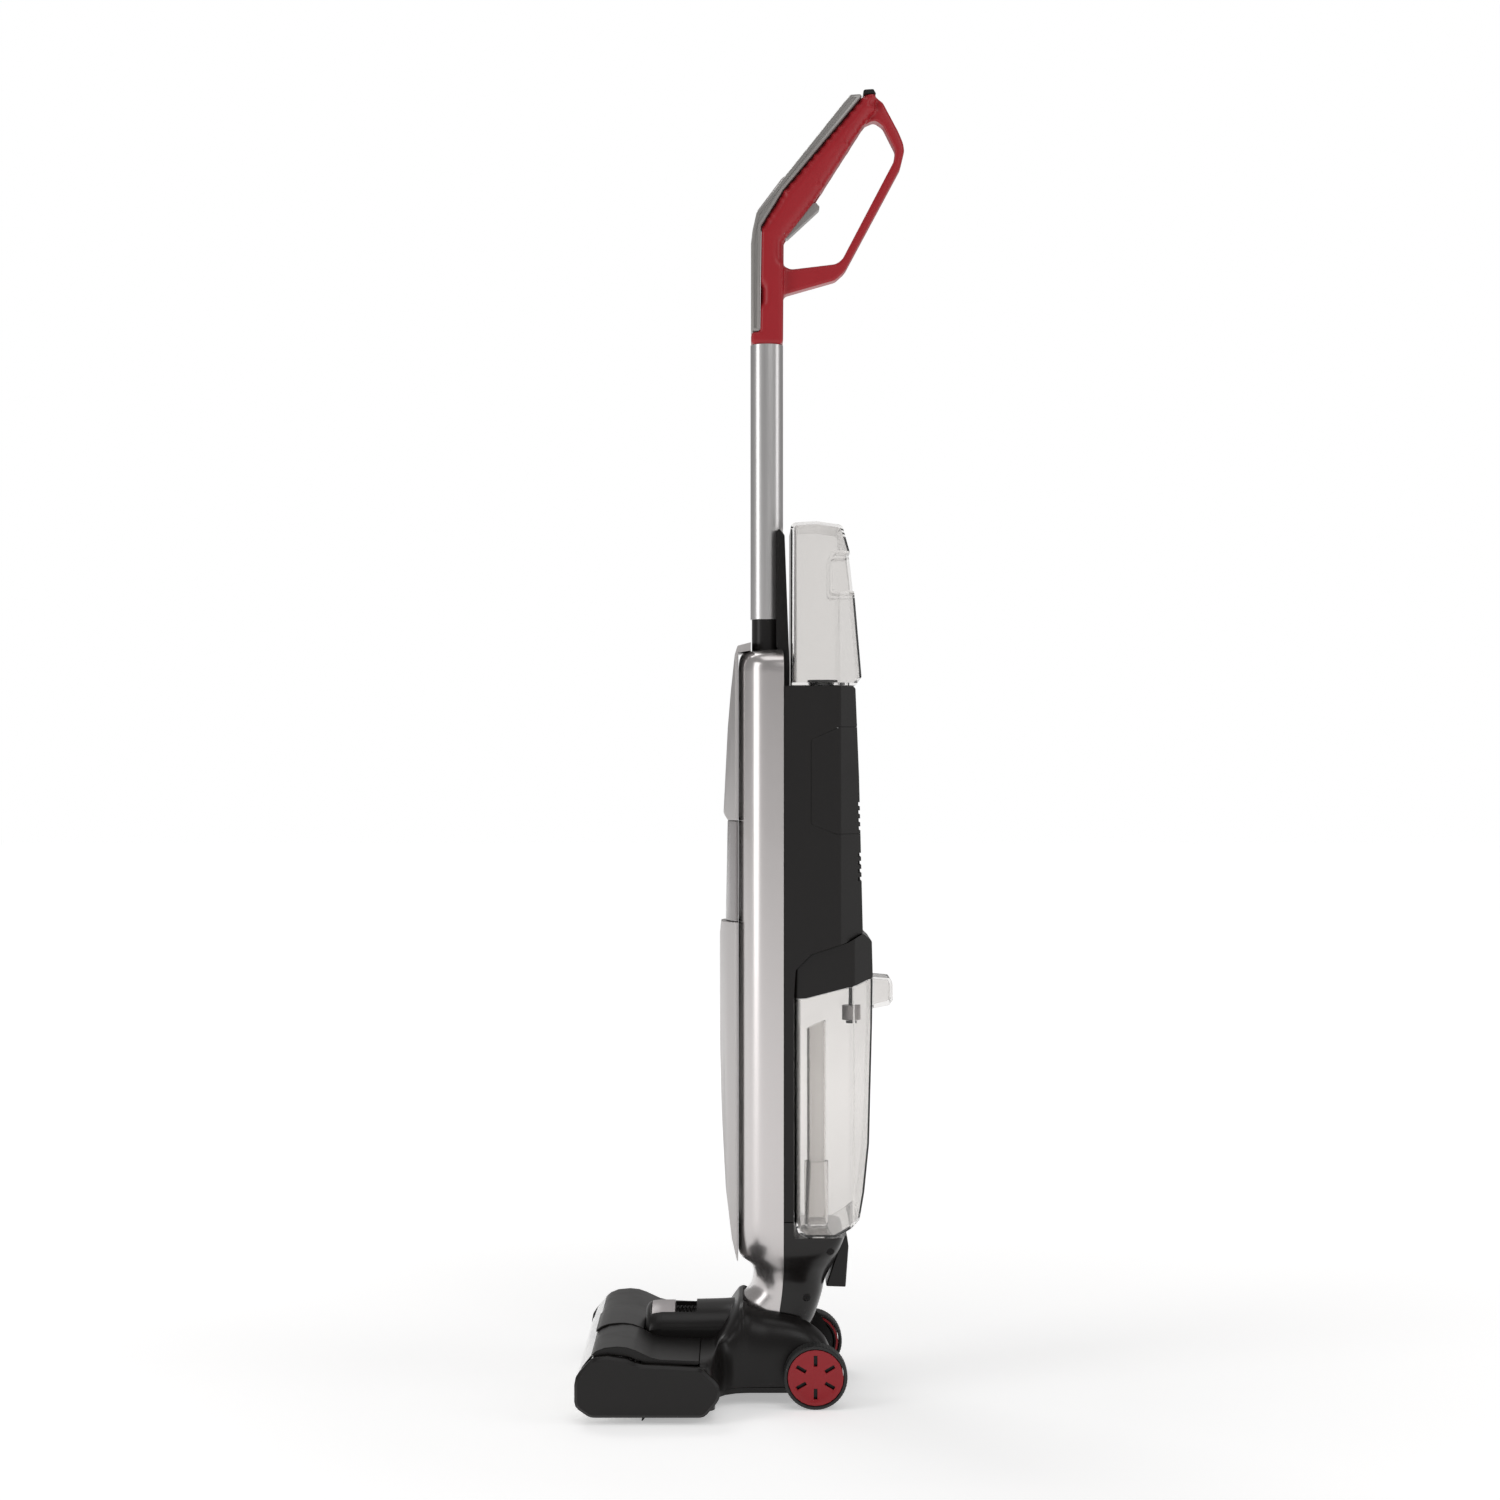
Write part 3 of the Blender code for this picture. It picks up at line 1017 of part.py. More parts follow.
def make_dirty_tank():
    """Clear tank for dirty water, open above, with a hollow grip behind and an inlet below."""
    tank = dirty_solid("dirty_tank", 0, CLEAR)
    grip_side = outline([(0.1106, 0.3381), (0.1278, 0.3416, 0.002), (0.1311, 0.3460, 0.002),
                         (0.1311, 0.3602, 0.002), (0.1287, 0.3654, 0.002), (0.1122, 0.3668),
                         (0.1106, 0.3655)])
    grip = prism("tank_grip", [grip_side], -0.0220, 0.0220, "X")
    under = prism("grip_pocket", [[(0.1142, 0.3300), (0.1288, 0.3300), (0.1289, 0.3590),
                                   (0.1270, 0.3635), (0.1142, 0.3646)]], -0.0198, 0.0198, "X")
    inlet = rod("tank_inlet", (0, STANDPIPE_Y, 0.13), (0, STANDPIPE_Y, 0.15), 0.0085)
    join(tank, grip)
    return cut(tank, dirty_solid("dirty_hollow", CLEAR_WALL), under, inlet)


def make_dirty_tank_lid():
    """Black lid with a tilted filter pocket, float guide and a pocket for the release button."""
    side = outline([(0.0439, 0.3499), (0.0455, 0.3747), (0.0592, 0.3884), (0.0904, 0.3987),
                    (0.1042, 0.4064, 0.002), (0.1117, 0.3994, 0.002), (0.1125, 0.3709), (0.1125, 0.3680),
                    (0.0981, 0.3618), (0.0542, 0.3504)])
    lid = prism("dirty_tank_lid", [tank_plan(0, 0.0437, 0.096, 0.1130)], 0.34, 0.42, "Z", BLACK)
    common(lid, prism("lid_side", [side], -0.1, 0.1, "X"))
    top = Vector((0, 0.0750, 0.39365))
    normal = Vector((0, -math.sin(LID_TILT), math.cos(LID_TILT)))
    pocket = rod("filter_pocket", top - normal * 0.012, top + normal * 0.03, 0.0155, sides=32)
    outlet = rod("air_outlet", top - normal * 0.05, top, 0.0080)
    guide = rod("float_guide", (0, FLOAT_Y, 0.3240), (0, FLOAT_Y, 0.3700), 0.0020)
    foot = rod("float_foot", (0, FLOAT_Y, 0.3240), (0, FLOAT_Y, 0.3260), 0.0045)
    latch_room = box("release_pocket", (-0.0135, 0.1025, 0.3735), (0.0135, 0.1300, 0.3845))
    cut(lid, pocket, outlet, latch_room)
    join(lid, guide, foot)
    disc = rod("tank_filter", top - normal * 0.0117, top - normal * 0.0008, 0.0150, FOAM, 32)
    return lid, disc


def make_tank_release():
    """Button at the lid's rear, pressed in to free the dirty tank."""
    side = outline([(0.1060, 0.3740), (0.1123, 0.3740, 0.001), (0.1120, 0.3840, 0.001), (0.1060, 0.3840)])
    return prism("tank_release", [side], -0.0130, 0.0130, "X", BUTTON_GREY)


def make_standpipe():
    """Stepped pipe from the tank's inlet to near its top, with a slanted mouth."""
    pipe = turned("standpipe", [(0.0106, 0.2020), (0.0106, 0.1465), (0.0088, 0.1465), (0.0070, 0.2000),
                                (0.0070, 0.3300), (0.0084, 0.3300), (0.0084, 0.2020)],
                  (0, STANDPIPE_Y - 0.0008, 0), (0, 0, 1), CLEAR, 24)
    mouth = prism("slanted_mouth", [[(0.040, 0.3120), (0.090, 0.3345), (0.090, 0.35), (0.040, 0.35)]],
                  -0.05, 0.05, "X")
    return cut(pipe, mouth)


def make_float():
    """Ring that floats up its guide and shuts the air outlet when the tank is full."""
    return turned("float", [(0.0024, 0.3400), (0.0080, 0.3400), (0.0080, 0.3270), (0.0024, 0.3270)],
                  (0, FLOAT_Y, 0), (0, 0, 1), BUTTON_GREY, 24)


# ---------------------------------------------------------------- assembly
def hang_on(name, place, pieces):
    """An empty on a joint's axis, carrying the pieces that move with it."""
    axis = bpy.data.objects.new(name, None)
    axis.location = place
    axis.empty_display_size = 0.02
    PARTS.objects.link(axis)
    for piece in pieces:
        child = bpy.data.objects[piece]
        child.parent = axis
        child.matrix_parent_inverse = Matrix.Translation(place).inverted()


def build_head():
    make_head_base()
    make_head_upper_shell()
    make_end_cap(1, "end_cap_left")
    make_end_cap(-1, "end_cap_right")
    make_brush_cover()
    make_brush_window()
    make_roller()
    make_brush_motor()
    make_motor_pulley()
    make_drive_belt()
    make_squeegee()
    make_spray_bar()
    make_suction_hose()
    make_latch()
    make_wheel(1, "left")
    make_wheel(-1, "right")


def build_upright():
    make_front_shell()
    make_rear_shell()
    make_neck_shell()
    make_neck_screws()
    make_front_panels()
    make_charging_shroud()
    make_handle_tube()
    make_tank_cradle()
    make_vacuum_motor()
    make_impeller()
    make_fan_housing()
    make_pump()
    make_water_tube()
    make_control_board()
    make_neck_duct()
    make_battery()


def build_handle():
    make_handle_shell(1, "left")
    make_handle_shell(-1, "right")
    make_handle_trim()
    make_mode_button()
    make_handle_end_cap()
    make_trigger()


def build_tanks():
    make_clean_tank()
    make_clean_tank_cap()
    make_dirty_tank()
    make_dirty_tank_lid()
    make_tank_release()
    make_standpipe()
    make_float()


def hang_head_pieces():
    hang_on("cover_axis", (0, ROLLER_Y, DECK), ["brush_cover", "brush_window"])
    hang_on("latch_axis", (0, LATCH_Y, LATCH_Z), ["latch_button"])
    hang_on("roller_axis", (0, ROLLER_Y, ROLLER_Z), ["roller_core", "roller_sleeve"])
    hang_on("motor_pulley_axis", (0, MOTOR_Y, MOTOR_Z), ["motor_pulley"])
    for side, word in ((1, "left"), (-1, "right")):
        hang_on(f"wheel_axis_{word}", (side * WHEEL_X[0], WHEEL_Y, WHEEL_R),
                [f"wheel_hub_{word}", f"tyre_{word}"])


def hang_upright_pieces():
    hang_on("trigger_axis", (0, *TRIGGER_PIVOT), ["trigger"])
    hang_on("mode_button_axis", (0, *MODE_PLACE), ["mode_button"])
    hang_on("impeller_axis", (0, MOTOR_AXIS_Y, FAN_Z), ["impeller"])
    hang_on("battery_axis", (0, MOTOR_AXIS_Y, BATTERY_Z), ["battery_hatch", "battery_case"])
    hang_on("cap_axis", (0, CAP_Y, CAP_Z), ["clean_tank_cap"])
    hang_on("clean_tank_axis", (0, CAP_Y, CAP_Z), ["clean_tank", "cap_axis"])
    hang_on("float_axis", (0, FLOAT_Y, FLOAT_Z), ["float"])
    hang_on("release_axis", (0, 0.106, RELEASE_Z), ["tank_release"])
    hang_on("dirty_tank_axis", (0, MOTOR_AXIS_Y, TANK_FLOOR),
            ["dirty_tank", "dirty_tank_lid", "standpipe", "tank_filter", "float_axis",
             "release_axis"])
    hang_on("recline_axis", (0, PIVOT_Y, PIVOT_Z),
            ["front_shell", "rear_shell", "neck_shell", "front_panel_upper", "panel_insert",
             "front_panel_lower", "tank_cradle", "handle_tube", "handle_shell_left",
             "handle_shell_right", "handle_trim", "handle_end_cap", "trigger_pin",
             "vacuum_motor", "fan_housing", "water_pump", "water_tube", "control_board",
             "charging_shroud", "neck_duct", "neck_screw_upper", "neck_screw_lower",
             "trigger_axis", "mode_button_axis", "impeller_axis", "battery_axis",
             "clean_tank_axis", "dirty_tank_axis"])


build_head()
build_upright()
build_handle()
build_tanks()
hang_head_pieces()
hang_upright_pieces()
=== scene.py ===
"""Finished look of an upright wet dry floor scrubber, laid out as an add-on.

Metres, +Z up.  The brush head is at the front (-Y), the tanks at the rear (+Y), left is +X.
"""
import json
import math
from contextlib import contextmanager

import bpy
from mathutils import Matrix, Vector
from mathutils.kdtree import KDTree

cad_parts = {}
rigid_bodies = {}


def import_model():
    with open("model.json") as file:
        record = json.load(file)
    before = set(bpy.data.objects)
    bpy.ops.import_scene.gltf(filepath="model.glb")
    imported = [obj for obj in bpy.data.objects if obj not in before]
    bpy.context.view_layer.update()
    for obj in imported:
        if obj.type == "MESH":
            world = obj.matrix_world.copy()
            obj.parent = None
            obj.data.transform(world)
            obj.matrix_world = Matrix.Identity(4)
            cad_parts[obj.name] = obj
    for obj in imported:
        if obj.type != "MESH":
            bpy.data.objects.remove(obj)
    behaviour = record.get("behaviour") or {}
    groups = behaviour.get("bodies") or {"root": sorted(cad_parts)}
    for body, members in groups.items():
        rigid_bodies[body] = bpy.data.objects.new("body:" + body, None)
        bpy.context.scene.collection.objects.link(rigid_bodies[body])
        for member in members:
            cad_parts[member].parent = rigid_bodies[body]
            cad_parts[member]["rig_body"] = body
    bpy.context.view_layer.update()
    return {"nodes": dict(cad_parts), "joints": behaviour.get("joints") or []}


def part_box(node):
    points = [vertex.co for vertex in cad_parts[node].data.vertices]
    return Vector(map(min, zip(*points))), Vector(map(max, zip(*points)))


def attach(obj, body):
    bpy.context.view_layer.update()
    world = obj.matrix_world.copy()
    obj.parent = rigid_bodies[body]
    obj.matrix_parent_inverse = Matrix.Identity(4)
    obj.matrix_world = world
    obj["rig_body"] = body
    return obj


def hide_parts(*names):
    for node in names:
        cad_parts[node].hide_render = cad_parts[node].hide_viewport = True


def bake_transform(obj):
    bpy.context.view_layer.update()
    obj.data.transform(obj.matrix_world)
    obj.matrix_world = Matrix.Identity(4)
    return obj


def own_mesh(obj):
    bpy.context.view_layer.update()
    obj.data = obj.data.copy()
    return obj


bl_info = {
    "name": "Floor Scrubber Finish",
    "version": (1, 0, 0),
    "blender": (4, 5, 0),
    "location": "3D View > Sidebar > Scrubber",
    "description": "Builds the finished surfaces, materials and studio of a floor scrubber",
    "category": "Object",
}

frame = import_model()
MM = 0.001
MERGE_REACH = 1e-6             # metres; points nearer than this become one


# ---------------------------------------------------------------- settings
class ScrubberSizes(bpy.types.PropertyGroup):
    """Sizes of the finishing work."""
    casing_edge: bpy.props.FloatProperty(
        name="Casing edge", description="Radius of the moulded casings' edges",
        default=0.9 * MM, min=0.0, unit="LENGTH")
    trim_edge: bpy.props.FloatProperty(
        name="Trim edge", description="Radius of the small trim's edges",
        default=0.4 * MM, min=0.0, unit="LENGTH")
    casing_wall: bpy.props.FloatProperty(
        name="Casing wall", description="Wall of the formed casings",
        default=2.2 * MM, min=0.001, unit="LENGTH")
    tread_ribs: bpy.props.IntProperty(
        name="Tread ribs", description="Cross grooves round each tyre", default=60, min=12)
    pile_depth: bpy.props.FloatProperty(
        name="Pile depth", description="How deep the roller's pile is ruffled",
        default=1.3 * MM, min=0.0, unit="LENGTH")


class ScrubberColours(bpy.types.PropertyGroup):
    """Colours of the finishes."""
    silver: bpy.props.FloatVectorProperty(
        name="Silver lacquer", description="Bright shell and neck", subtype="COLOR", size=3,
        default=(0.58, 0.552, 0.547), min=0, max=1)
    panel: bpy.props.FloatVectorProperty(
        name="Panel grey", description="Raised front panels", subtype="COLOR", size=3,
        default=(0.50, 0.48, 0.475), min=0, max=1)
    insert: bpy.props.FloatVectorProperty(
        name="Insert grey", description="Recessed panel between them", subtype="COLOR", size=3,
        default=(0.24, 0.225, 0.225), min=0, max=1)
    black: bpy.props.FloatVectorProperty(
        name="Black", description="Moulded casings", subtype="COLOR", size=3,
        default=(0.0075, 0.0065, 0.0062), min=0, max=1)
    red: bpy.props.FloatVectorProperty(
        name="Red", description="Handle and wheel hubs", subtype="COLOR", size=3,
        default=(0.30, 0.012, 0.018), min=0, max=1)
    trim: bpy.props.FloatVectorProperty(
        name="Trim grey", description="Handle trim and trigger", subtype="COLOR", size=3,
        default=(0.27, 0.26, 0.25), min=0, max=1)
    clear: bpy.props.FloatVectorProperty(
        name="Clear plastic", description="Both water tanks", subtype="COLOR", size=3,
        default=(0.815, 0.802, 0.790), min=0, max=1)
    pile: bpy.props.FloatVectorProperty(
        name="Pile", description="Soft roller", subtype="COLOR", size=3,
        default=(0.80, 0.79, 0.76), min=0, max=1)


def sizes():
    return bpy.context.scene.scrubber_sizes


def colours():
    return bpy.context.scene.scrubber_colours


# ---------------------------------------------------------------- shader maths
class Value:
    """A socket that can be used in plain arithmetic."""

    def __init__(self, sheet, socket):
        self.sheet = sheet
        self.socket = socket

    def math(self, operation, first, second=0.0):
        return self.sheet.node("ShaderNodeMath", {"operation": operation}, {0: first, 1: second})

    def __add__(self, other):
        return self.math("ADD", self, other)

    def __radd__(self, other):
        return self.math("ADD", other, self)

    def __sub__(self, other):
        return self.math("SUBTRACT", self, other)

    def __rsub__(self, other):
        return self.math("SUBTRACT", other, self)

    def __mul__(self, other):
        return self.math("MULTIPLY", self, other)

    def __rmul__(self, other):
        return self.math("MULTIPLY", other, self)

    def clamp(self):
        return self.sheet.node("ShaderNodeClamp", {}, {0: self})


class Sheet:
    """A material and the tools that lay out its nodes."""

    def __init__(self, name, **constants):
        self.material = bpy.data.materials.new(name)
        self.material.use_nodes = True
        self.tree = self.material.node_tree
        self.tree.nodes.clear()
        self.shader = self.tree.nodes.new("ShaderNodeBsdfPrincipled")
        output = self.tree.nodes.new("ShaderNodeOutputMaterial")
        self.tree.links.new(self.shader.outputs[0], output.inputs["Surface"])
        for socket, value in constants.items():
            self.shader.inputs[socket.replace("_", " ")].default_value = value
        self.place = self.node("ShaderNodeTexCoord", {}, {}, "Object")

    def node(self, kind, settings=None, values=None, output=0):
        """A node with its settings, then the values or links of its sockets."""
        made = self.tree.nodes.new(kind)
        for name, value in (settings or {}).items():
            if name == "stops":
                self.set_stops(made.color_ramp, value)
            else:
                setattr(made, name, value)
        for socket, value in (values or {}).items():
            if isinstance(value, Value):
                self.tree.links.new(value.socket, made.inputs[socket])
            else:
                made.inputs[socket].default_value = value
        return Value(self, made.outputs[output])

    @staticmethod
    def set_stops(ramp, stops):
        while len(ramp.elements) < len(stops):
            ramp.elements.new(0.5)
        for element, (position, level) in zip(ramp.elements, stops):
            element.position = position
            element.color = (level, level, level, 1.0)

    def noise(self, scale, detail=2.0, stretch=(1, 1, 1)):
        """Soft cloudy variation, about one feature every 1/scale metres."""
        place = self.node("ShaderNodeMapping", {}, {"Vector": self.place, "Scale": stretch})
        return self.node("ShaderNodeTexNoise", {},
                         {"Vector": place, "Scale": scale, "Detail": detail})

    def cells(self, scale):
        """Distance to the middle of small cells, for leathery moulded grain."""
        return self.node("ShaderNodeTexVoronoi", {}, {"Vector": self.place, "Scale": scale})

    def ramp(self, value, low, high):
        """0 below low, 1 above high, straight between."""
        return self.node("ShaderNodeMapRange", {},
                         {"Value": value, "From Min": low, "From Max": high})

    def mix(self, factor, first, second):
        """Colour between two colours."""
        return self.node("ShaderNodeMix", {"data_type": "RGBA"},
                         {0: factor, 6: first, 7: second}, 2)

    def height(self, value, depth):
        """Relief of the given depth in metres on the shader's normal."""
        bump = self.node("ShaderNodeBump", {},
                         {"Height": value, "Distance": depth, "Strength": 1.0})
        self.tree.links.new(bump.socket, self.shader.inputs["Normal"])

    def feed(self, **links):
        for socket, value in links.items():
            self.tree.links.new(value.socket, self.shader.inputs[socket.replace("_", " ")])
        return self.material


def shade(colour, factor):
    return (*(min(1.0, channel * factor) for channel in colour), 1.0)


FINISHES = {}


def once(name, make):
    """A finish is made the first time it is asked for."""
    if name not in FINISHES:
        FINISHES[name] = make()
    return FINISHES[name]


def moulded(name, colour, rough, grain, depth, metal=0.0, coat=0.0, spread=0.10, gloss=0.5):
    """Injection-moulded plastic: fine grain, uneven sheen, faint rubbed patches and dust."""
    def make():
        sheet = Sheet(name, Metallic=metal, Coat_Weight=coat, Coat_Roughness=0.08,
                      Specular_IOR_Level=gloss)
        patches = sheet.noise(9.0, 4.0)
        speckle = sheet.noise(700.0, 1.0)
        rubbed = sheet.ramp(sheet.noise(38.0, 6.0), 0.52, 0.78)
        tone = (patches * 0.6 + speckle * 0.4).clamp()
        body = sheet.mix(tone, shade(colour, 1 - spread), shade(colour, 1 + spread))
        tint = sheet.mix(rubbed * 0.25, body, shade(colour, 1 + 2.5 * spread))
        sheen = rough + (patches - 0.5) * 0.10 + rubbed * 0.05
        relief = sheet.cells(grain) * 0.7 + sheet.noise(grain * 2.0, 2.0) * 0.3
        sheet.height(relief, depth)
        return sheet.feed(Base_Color=tint, Roughness=sheen.clamp())
    return once(name, make)


def black_satin():
    return moulded("black_satin", colours().black, 0.30, 2200.0, 0.000006, gloss=0.30)


def black_grained():
    return moulded("black_grained", colours().black, 0.40, 1500.0, 0.000012, gloss=0.30)


def black_polished():
    return moulded("black_polished", colours().black, 0.24, 500.0, 0.000003, gloss=0.36)


def red_satin():
    return moulded("red_satin", colours().red, 0.30, 2600.0, 0.000004, spread=0.06, gloss=0.32)


def trim_satin():
    return moulded("trim_satin", colours().trim, 0.30, 3200.0, 0.000002, metal=0.45, spread=0.03)


def button_satin():
    return moulded("button_satin", (0.45, 0.42, 0.42), 0.30, 2400.0, 0.000008, metal=0.2)


def panel_satin():
    return moulded("panel_satin", colours().panel, 0.30, 2600.0, 0.000006, metal=0.55, spread=0.04)


def insert_satin():
    return moulded("insert_satin", colours().insert, 0.22, 2600.0, 0.000004,
                   metal=0.45, coat=0.3, spread=0.05)


def silver_lacquer():
    """Metallic lacquer: flake sparkle, orange peel and soft wiping marks under a clear coat."""
    def make():
        sheet = Sheet("silver_lacquer", Metallic=0.94, Coat_Weight=0.35, Coat_Roughness=0.04)
        flake = sheet.cells(5200.0)
        drift = sheet.noise(6.0, 3.0)
        wiped = sheet.noise(60.0, 5.0, (1.0, 1.0, 0.12))
        silver = colours().silver
        tone = (flake * 0.35 + drift * 0.65).clamp()
        body = sheet.mix(tone, shade(silver, 0.94), shade(silver, 1.05))
        height = sheet.node("ShaderNodeSeparateXYZ", {}, {0: sheet.place}, 2)
        satin = sheet.ramp(height, 0.110, 0.200)
        sheen = 0.25 - satin * 0.01 + flake * 0.03 + (wiped - 0.5) * 0.04
        sheet.height(sheet.noise(420.0, 1.0) * 0.7 + flake * 0.3, 0.000004)
        return sheet.feed(Base_Color=body, Roughness=sheen.clamp())
    return once("silver_lacquer", make)


def satin_aluminium():
    """Drawn and anodised tube: long hair lines along its length."""
    def make():
        sheet = Sheet("satin_aluminium", Metallic=1.0)
        lines = sheet.noise(2600.0, 3.0, (1.0, 1.0, 0.006))
        broad = sheet.noise(300.0, 2.0, (1.0, 1.0, 0.02))
        smears = sheet.noise(14.0, 4.0)
        tone = (lines * 0.6 + broad * 0.4).clamp()
        body = sheet.mix(tone, (0.50, 0.49, 0.49, 1), (0.68, 0.67, 0.665, 1))
        sheen = 0.25 + lines * 0.10 + (smears - 0.5) * 0.06
        sheet.height(lines * 0.8 + broad * 0.2, 0.000008)
        return sheet.feed(Base_Color=body, Roughness=sheen.clamp())
    return once("satin_aluminium", make)


def steel():
    """Turned or pressed steel with faint oxide spots."""
    def make():
        sheet = Sheet("plain_steel", Metallic=1.0)
        spots = sheet.ramp(sheet.noise(240.0, 5.0), 0.55, 0.75)
        lines = sheet.noise(1800.0, 2.0, (0.05, 1.0, 1.0))
        body = sheet.mix(spots * 0.6, (0.48, 0.48, 0.49, 1), (0.26, 0.25, 0.24, 1))
        sheet.height(lines, 0.00001)
        return sheet.feed(Base_Color=body, Roughness=(0.28 + lines * 0.12 + spots * 0.15).clamp())
    return once("plain_steel", make)


def blackened_steel():
    """Black oxide on the sunk screws, worn a little at the driver slot."""
    def make():
        sheet = Sheet("blackened_steel", Metallic=0.6)
        worn = sheet.ramp(sheet.noise(900.0, 4.0), 0.60, 0.80)
        body = sheet.mix(worn * 0.5, (0.012, 0.011, 0.011, 1), (0.10, 0.095, 0.09, 1))
        sheet.height(worn, 0.00001)
        return sheet.feed(Base_Color=body, Roughness=(0.42 - worn * 0.1).clamp())
    return once("blackened_steel", make)


def clear_plastic(name="clear_plastic", tint=1.0):
    """Clear moulded tank wall: faint flow marks, light scuffs and a trace of limescale."""
    def make():
        sheet = Sheet(name, Transmission_Weight=1.0, IOR=1.46)
        clear = [channel * tint for channel in colours().clear]
        flow = sheet.noise(22.0, 3.0, (1.0, 1.0, 0.25))
        scuffs = sheet.ramp(sheet.noise(900.0, 6.0, (1.0, 1.0, 0.15)), 0.60, 0.80)
        scale = sheet.ramp(sheet.noise(45.0, 6.0), 0.62, 0.82)
        body = sheet.mix(flow, shade(clear, 0.97), shade(clear, 1.03))
        sheen = 0.025 + scuffs * 0.05 + scale * 0.06
        sheet.height(flow * 0.8 + scuffs * 0.2, 0.00004)
        return sheet.feed(Base_Color=body, Roughness=sheen.clamp())
    return once(name, make)


def smoked_plastic():
    """The tank's moulding with a little more grey in it."""
    return clear_plastic("smoked_plastic", 0.97)


def rubber():
    """Matt rubber with a dusty bloom and fine moulding texture."""
    def make():
        sheet = Sheet("matt_rubber")
        bloom = sheet.ramp(sheet.noise(55.0, 5.0), 0.45, 0.80)
        fine = sheet.noise(1600.0, 3.0)
        body = sheet.mix(bloom * 0.5, (0.011, 0.011, 0.011, 1), (0.040, 0.038, 0.036, 1))
        sheet.height(fine, 0.00004)
        sheen = 0.55 + bloom * 0.25 + (fine - 0.5) * 0.1
        return sheet.feed(Base_Color=body, Roughness=sheen.clamp())
    return once("matt_rubber", make)


def soft_pile():
    """Short dense microfibre, clumped, darker in the dips between clumps as painted shade, and
    slightly soiled in random patches.
    """
    def make():
        pile = colours().pile
        sheet = Sheet("soft_pile", Sheen_Weight=0.5, Sheen_Roughness=0.5)
        clumps_and_dip_shade = sheet.cells(900.0)
        fibres = sheet.noise(4200.0, 2.0, (0.35, 1.0, 1.0))
        soil = sheet.ramp(sheet.noise(40.0, 5.0), 0.45, 0.85)
        # painted shade: the pile's colour goes darker towards the clumps' edges, where the relief
        # dips
        tone = (clumps_and_dip_shade * 0.7 + fibres * 0.3).clamp()
        body = sheet.mix(tone, shade(pile, 1.06), shade(pile, 0.78))
        tint = sheet.mix(soil * 0.25, body, (0.55, 0.53, 0.49, 1))
        sheet.height(clumps_and_dip_shade * -0.6 + fibres * 0.4, 0.0005)
        return sheet.feed(Base_Color=tint, Roughness=(0.88 + fibres * 0.1).clamp())
    return once("soft_pile", make)


def circuit_board():
    """Solder mask with lighter copper areas under it."""
    def make():
        sheet = Sheet("circuit_board")
        areas = sheet.ramp(sheet.cells(260.0), 0.30, 0.34)
        body = sheet.mix(areas, (0.010, 0.085, 0.035, 1), (0.018, 0.14, 0.055, 1))
        sheet.height(areas, 0.00004)
        return sheet.feed(Base_Color=body, Roughness=0.30 + areas * 0.15)
    return once("circuit_board", make)


def foam():
    """Open-cell filter foam, its pores coloured darker than their rims as painted shade."""
    def make():
        sheet = Sheet("filter_foam")
        pores_and_pore_shade = sheet.cells(700.0)
        # painted shade: the foam is darker in the middle of each pore, where the relief sinks
        body = sheet.mix(pores_and_pore_shade, (0.03, 0.032, 0.035, 1), (0.15, 0.155, 0.165, 1))
        sheet.height(pores_and_pore_shade, 0.0006)
        return sheet.feed(Base_Color=body, Roughness=0.85 + pores_and_pore_shade * 0.1)
    return once("filter_foam", make)


# ---------------------------------------------------------------- modelling by hand
def deselect():
    bpy.ops.object.select_all(action="DESELECT")


def take(item):
    """Make one object the only selected and active one."""
    deselect()
    item.select_set(True)
    bpy.context.view_layer.objects.active = item


@contextmanager
def editing(item, select="SELECT"):
    """Edit mode on one object, with all of its mesh selected, none, or what was before."""
    take(item)
    bpy.ops.object.mode_set(mode="EDIT")
    if select:
        bpy.ops.mesh.select_all(action=select)
    yield
    bpy.ops.object.mode_set(mode="OBJECT")


def apply_modifier(item, kind, **settings):
    take(item)
    modifier = item.modifiers.new(kind.lower(), kind)
    for name, value in settings.items():
        setattr(modifier, name, value)
    bpy.ops.object.modifier_apply(modifier=modifier.name)


def fresh(name):
    """The primitive just added, renamed."""
    item = bpy.context.view_layer.objects.active
    item.name = name
    item.data.name = name
    return item


def settle(item):
    """Put an object's place, turn and size into its mesh."""
    take(item)
    bpy.ops.object.transform_apply(location=True, rotation=True, scale=True)
    return item


def face_out(item):
    """Merge doubles and point every face outwards."""
    with editing(item):
        bpy.ops.mesh.remove_doubles(threshold=MERGE_REACH)
        bpy.ops.mesh.normals_make_consistent(inside=False)
    return item


def smooth(item, angle=35):
    take(item)
    bpy.ops.object.shade_smooth_by_angle(angle=math.radians(angle))
    return item


def round_edges(item, width, segments=3, angle=33):
    """Round every edge sharper than an angle, and even out the shading of the flats."""
    apply_modifier(item, "BEVEL", width=width, segments=segments, limit_method="ANGLE",
                   angle_limit=math.radians(angle), use_clamp_overlap=True)
    smooth(item, 50)
    apply_modifier(item, "WEIGHTED_NORMAL", keep_sharp=True, weight=60)


def copy_of(node):
    """A merged copy of a node with its flat faces made whole."""
    item = frame["nodes"][node].copy()
    item.data = item.data.copy()
    item.name = node + "_fine"
    item.parent = None
    for key in list(item.keys()):
        del item[key]
    bpy.context.scene.collection.objects.link(item)
    item.matrix_world = Matrix.Identity(4)
    with editing(item):
        bpy.ops.mesh.remove_doubles(threshold=MERGE_REACH)
        bpy.ops.mesh.dissolve_limited(angle_limit=math.radians(0.6))
    if item.data.has_custom_normals:
        bpy.ops.mesh.customdata_custom_splitnormals_clear()
    return item


def body_of(node):
    return frame["nodes"][node]["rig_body"]


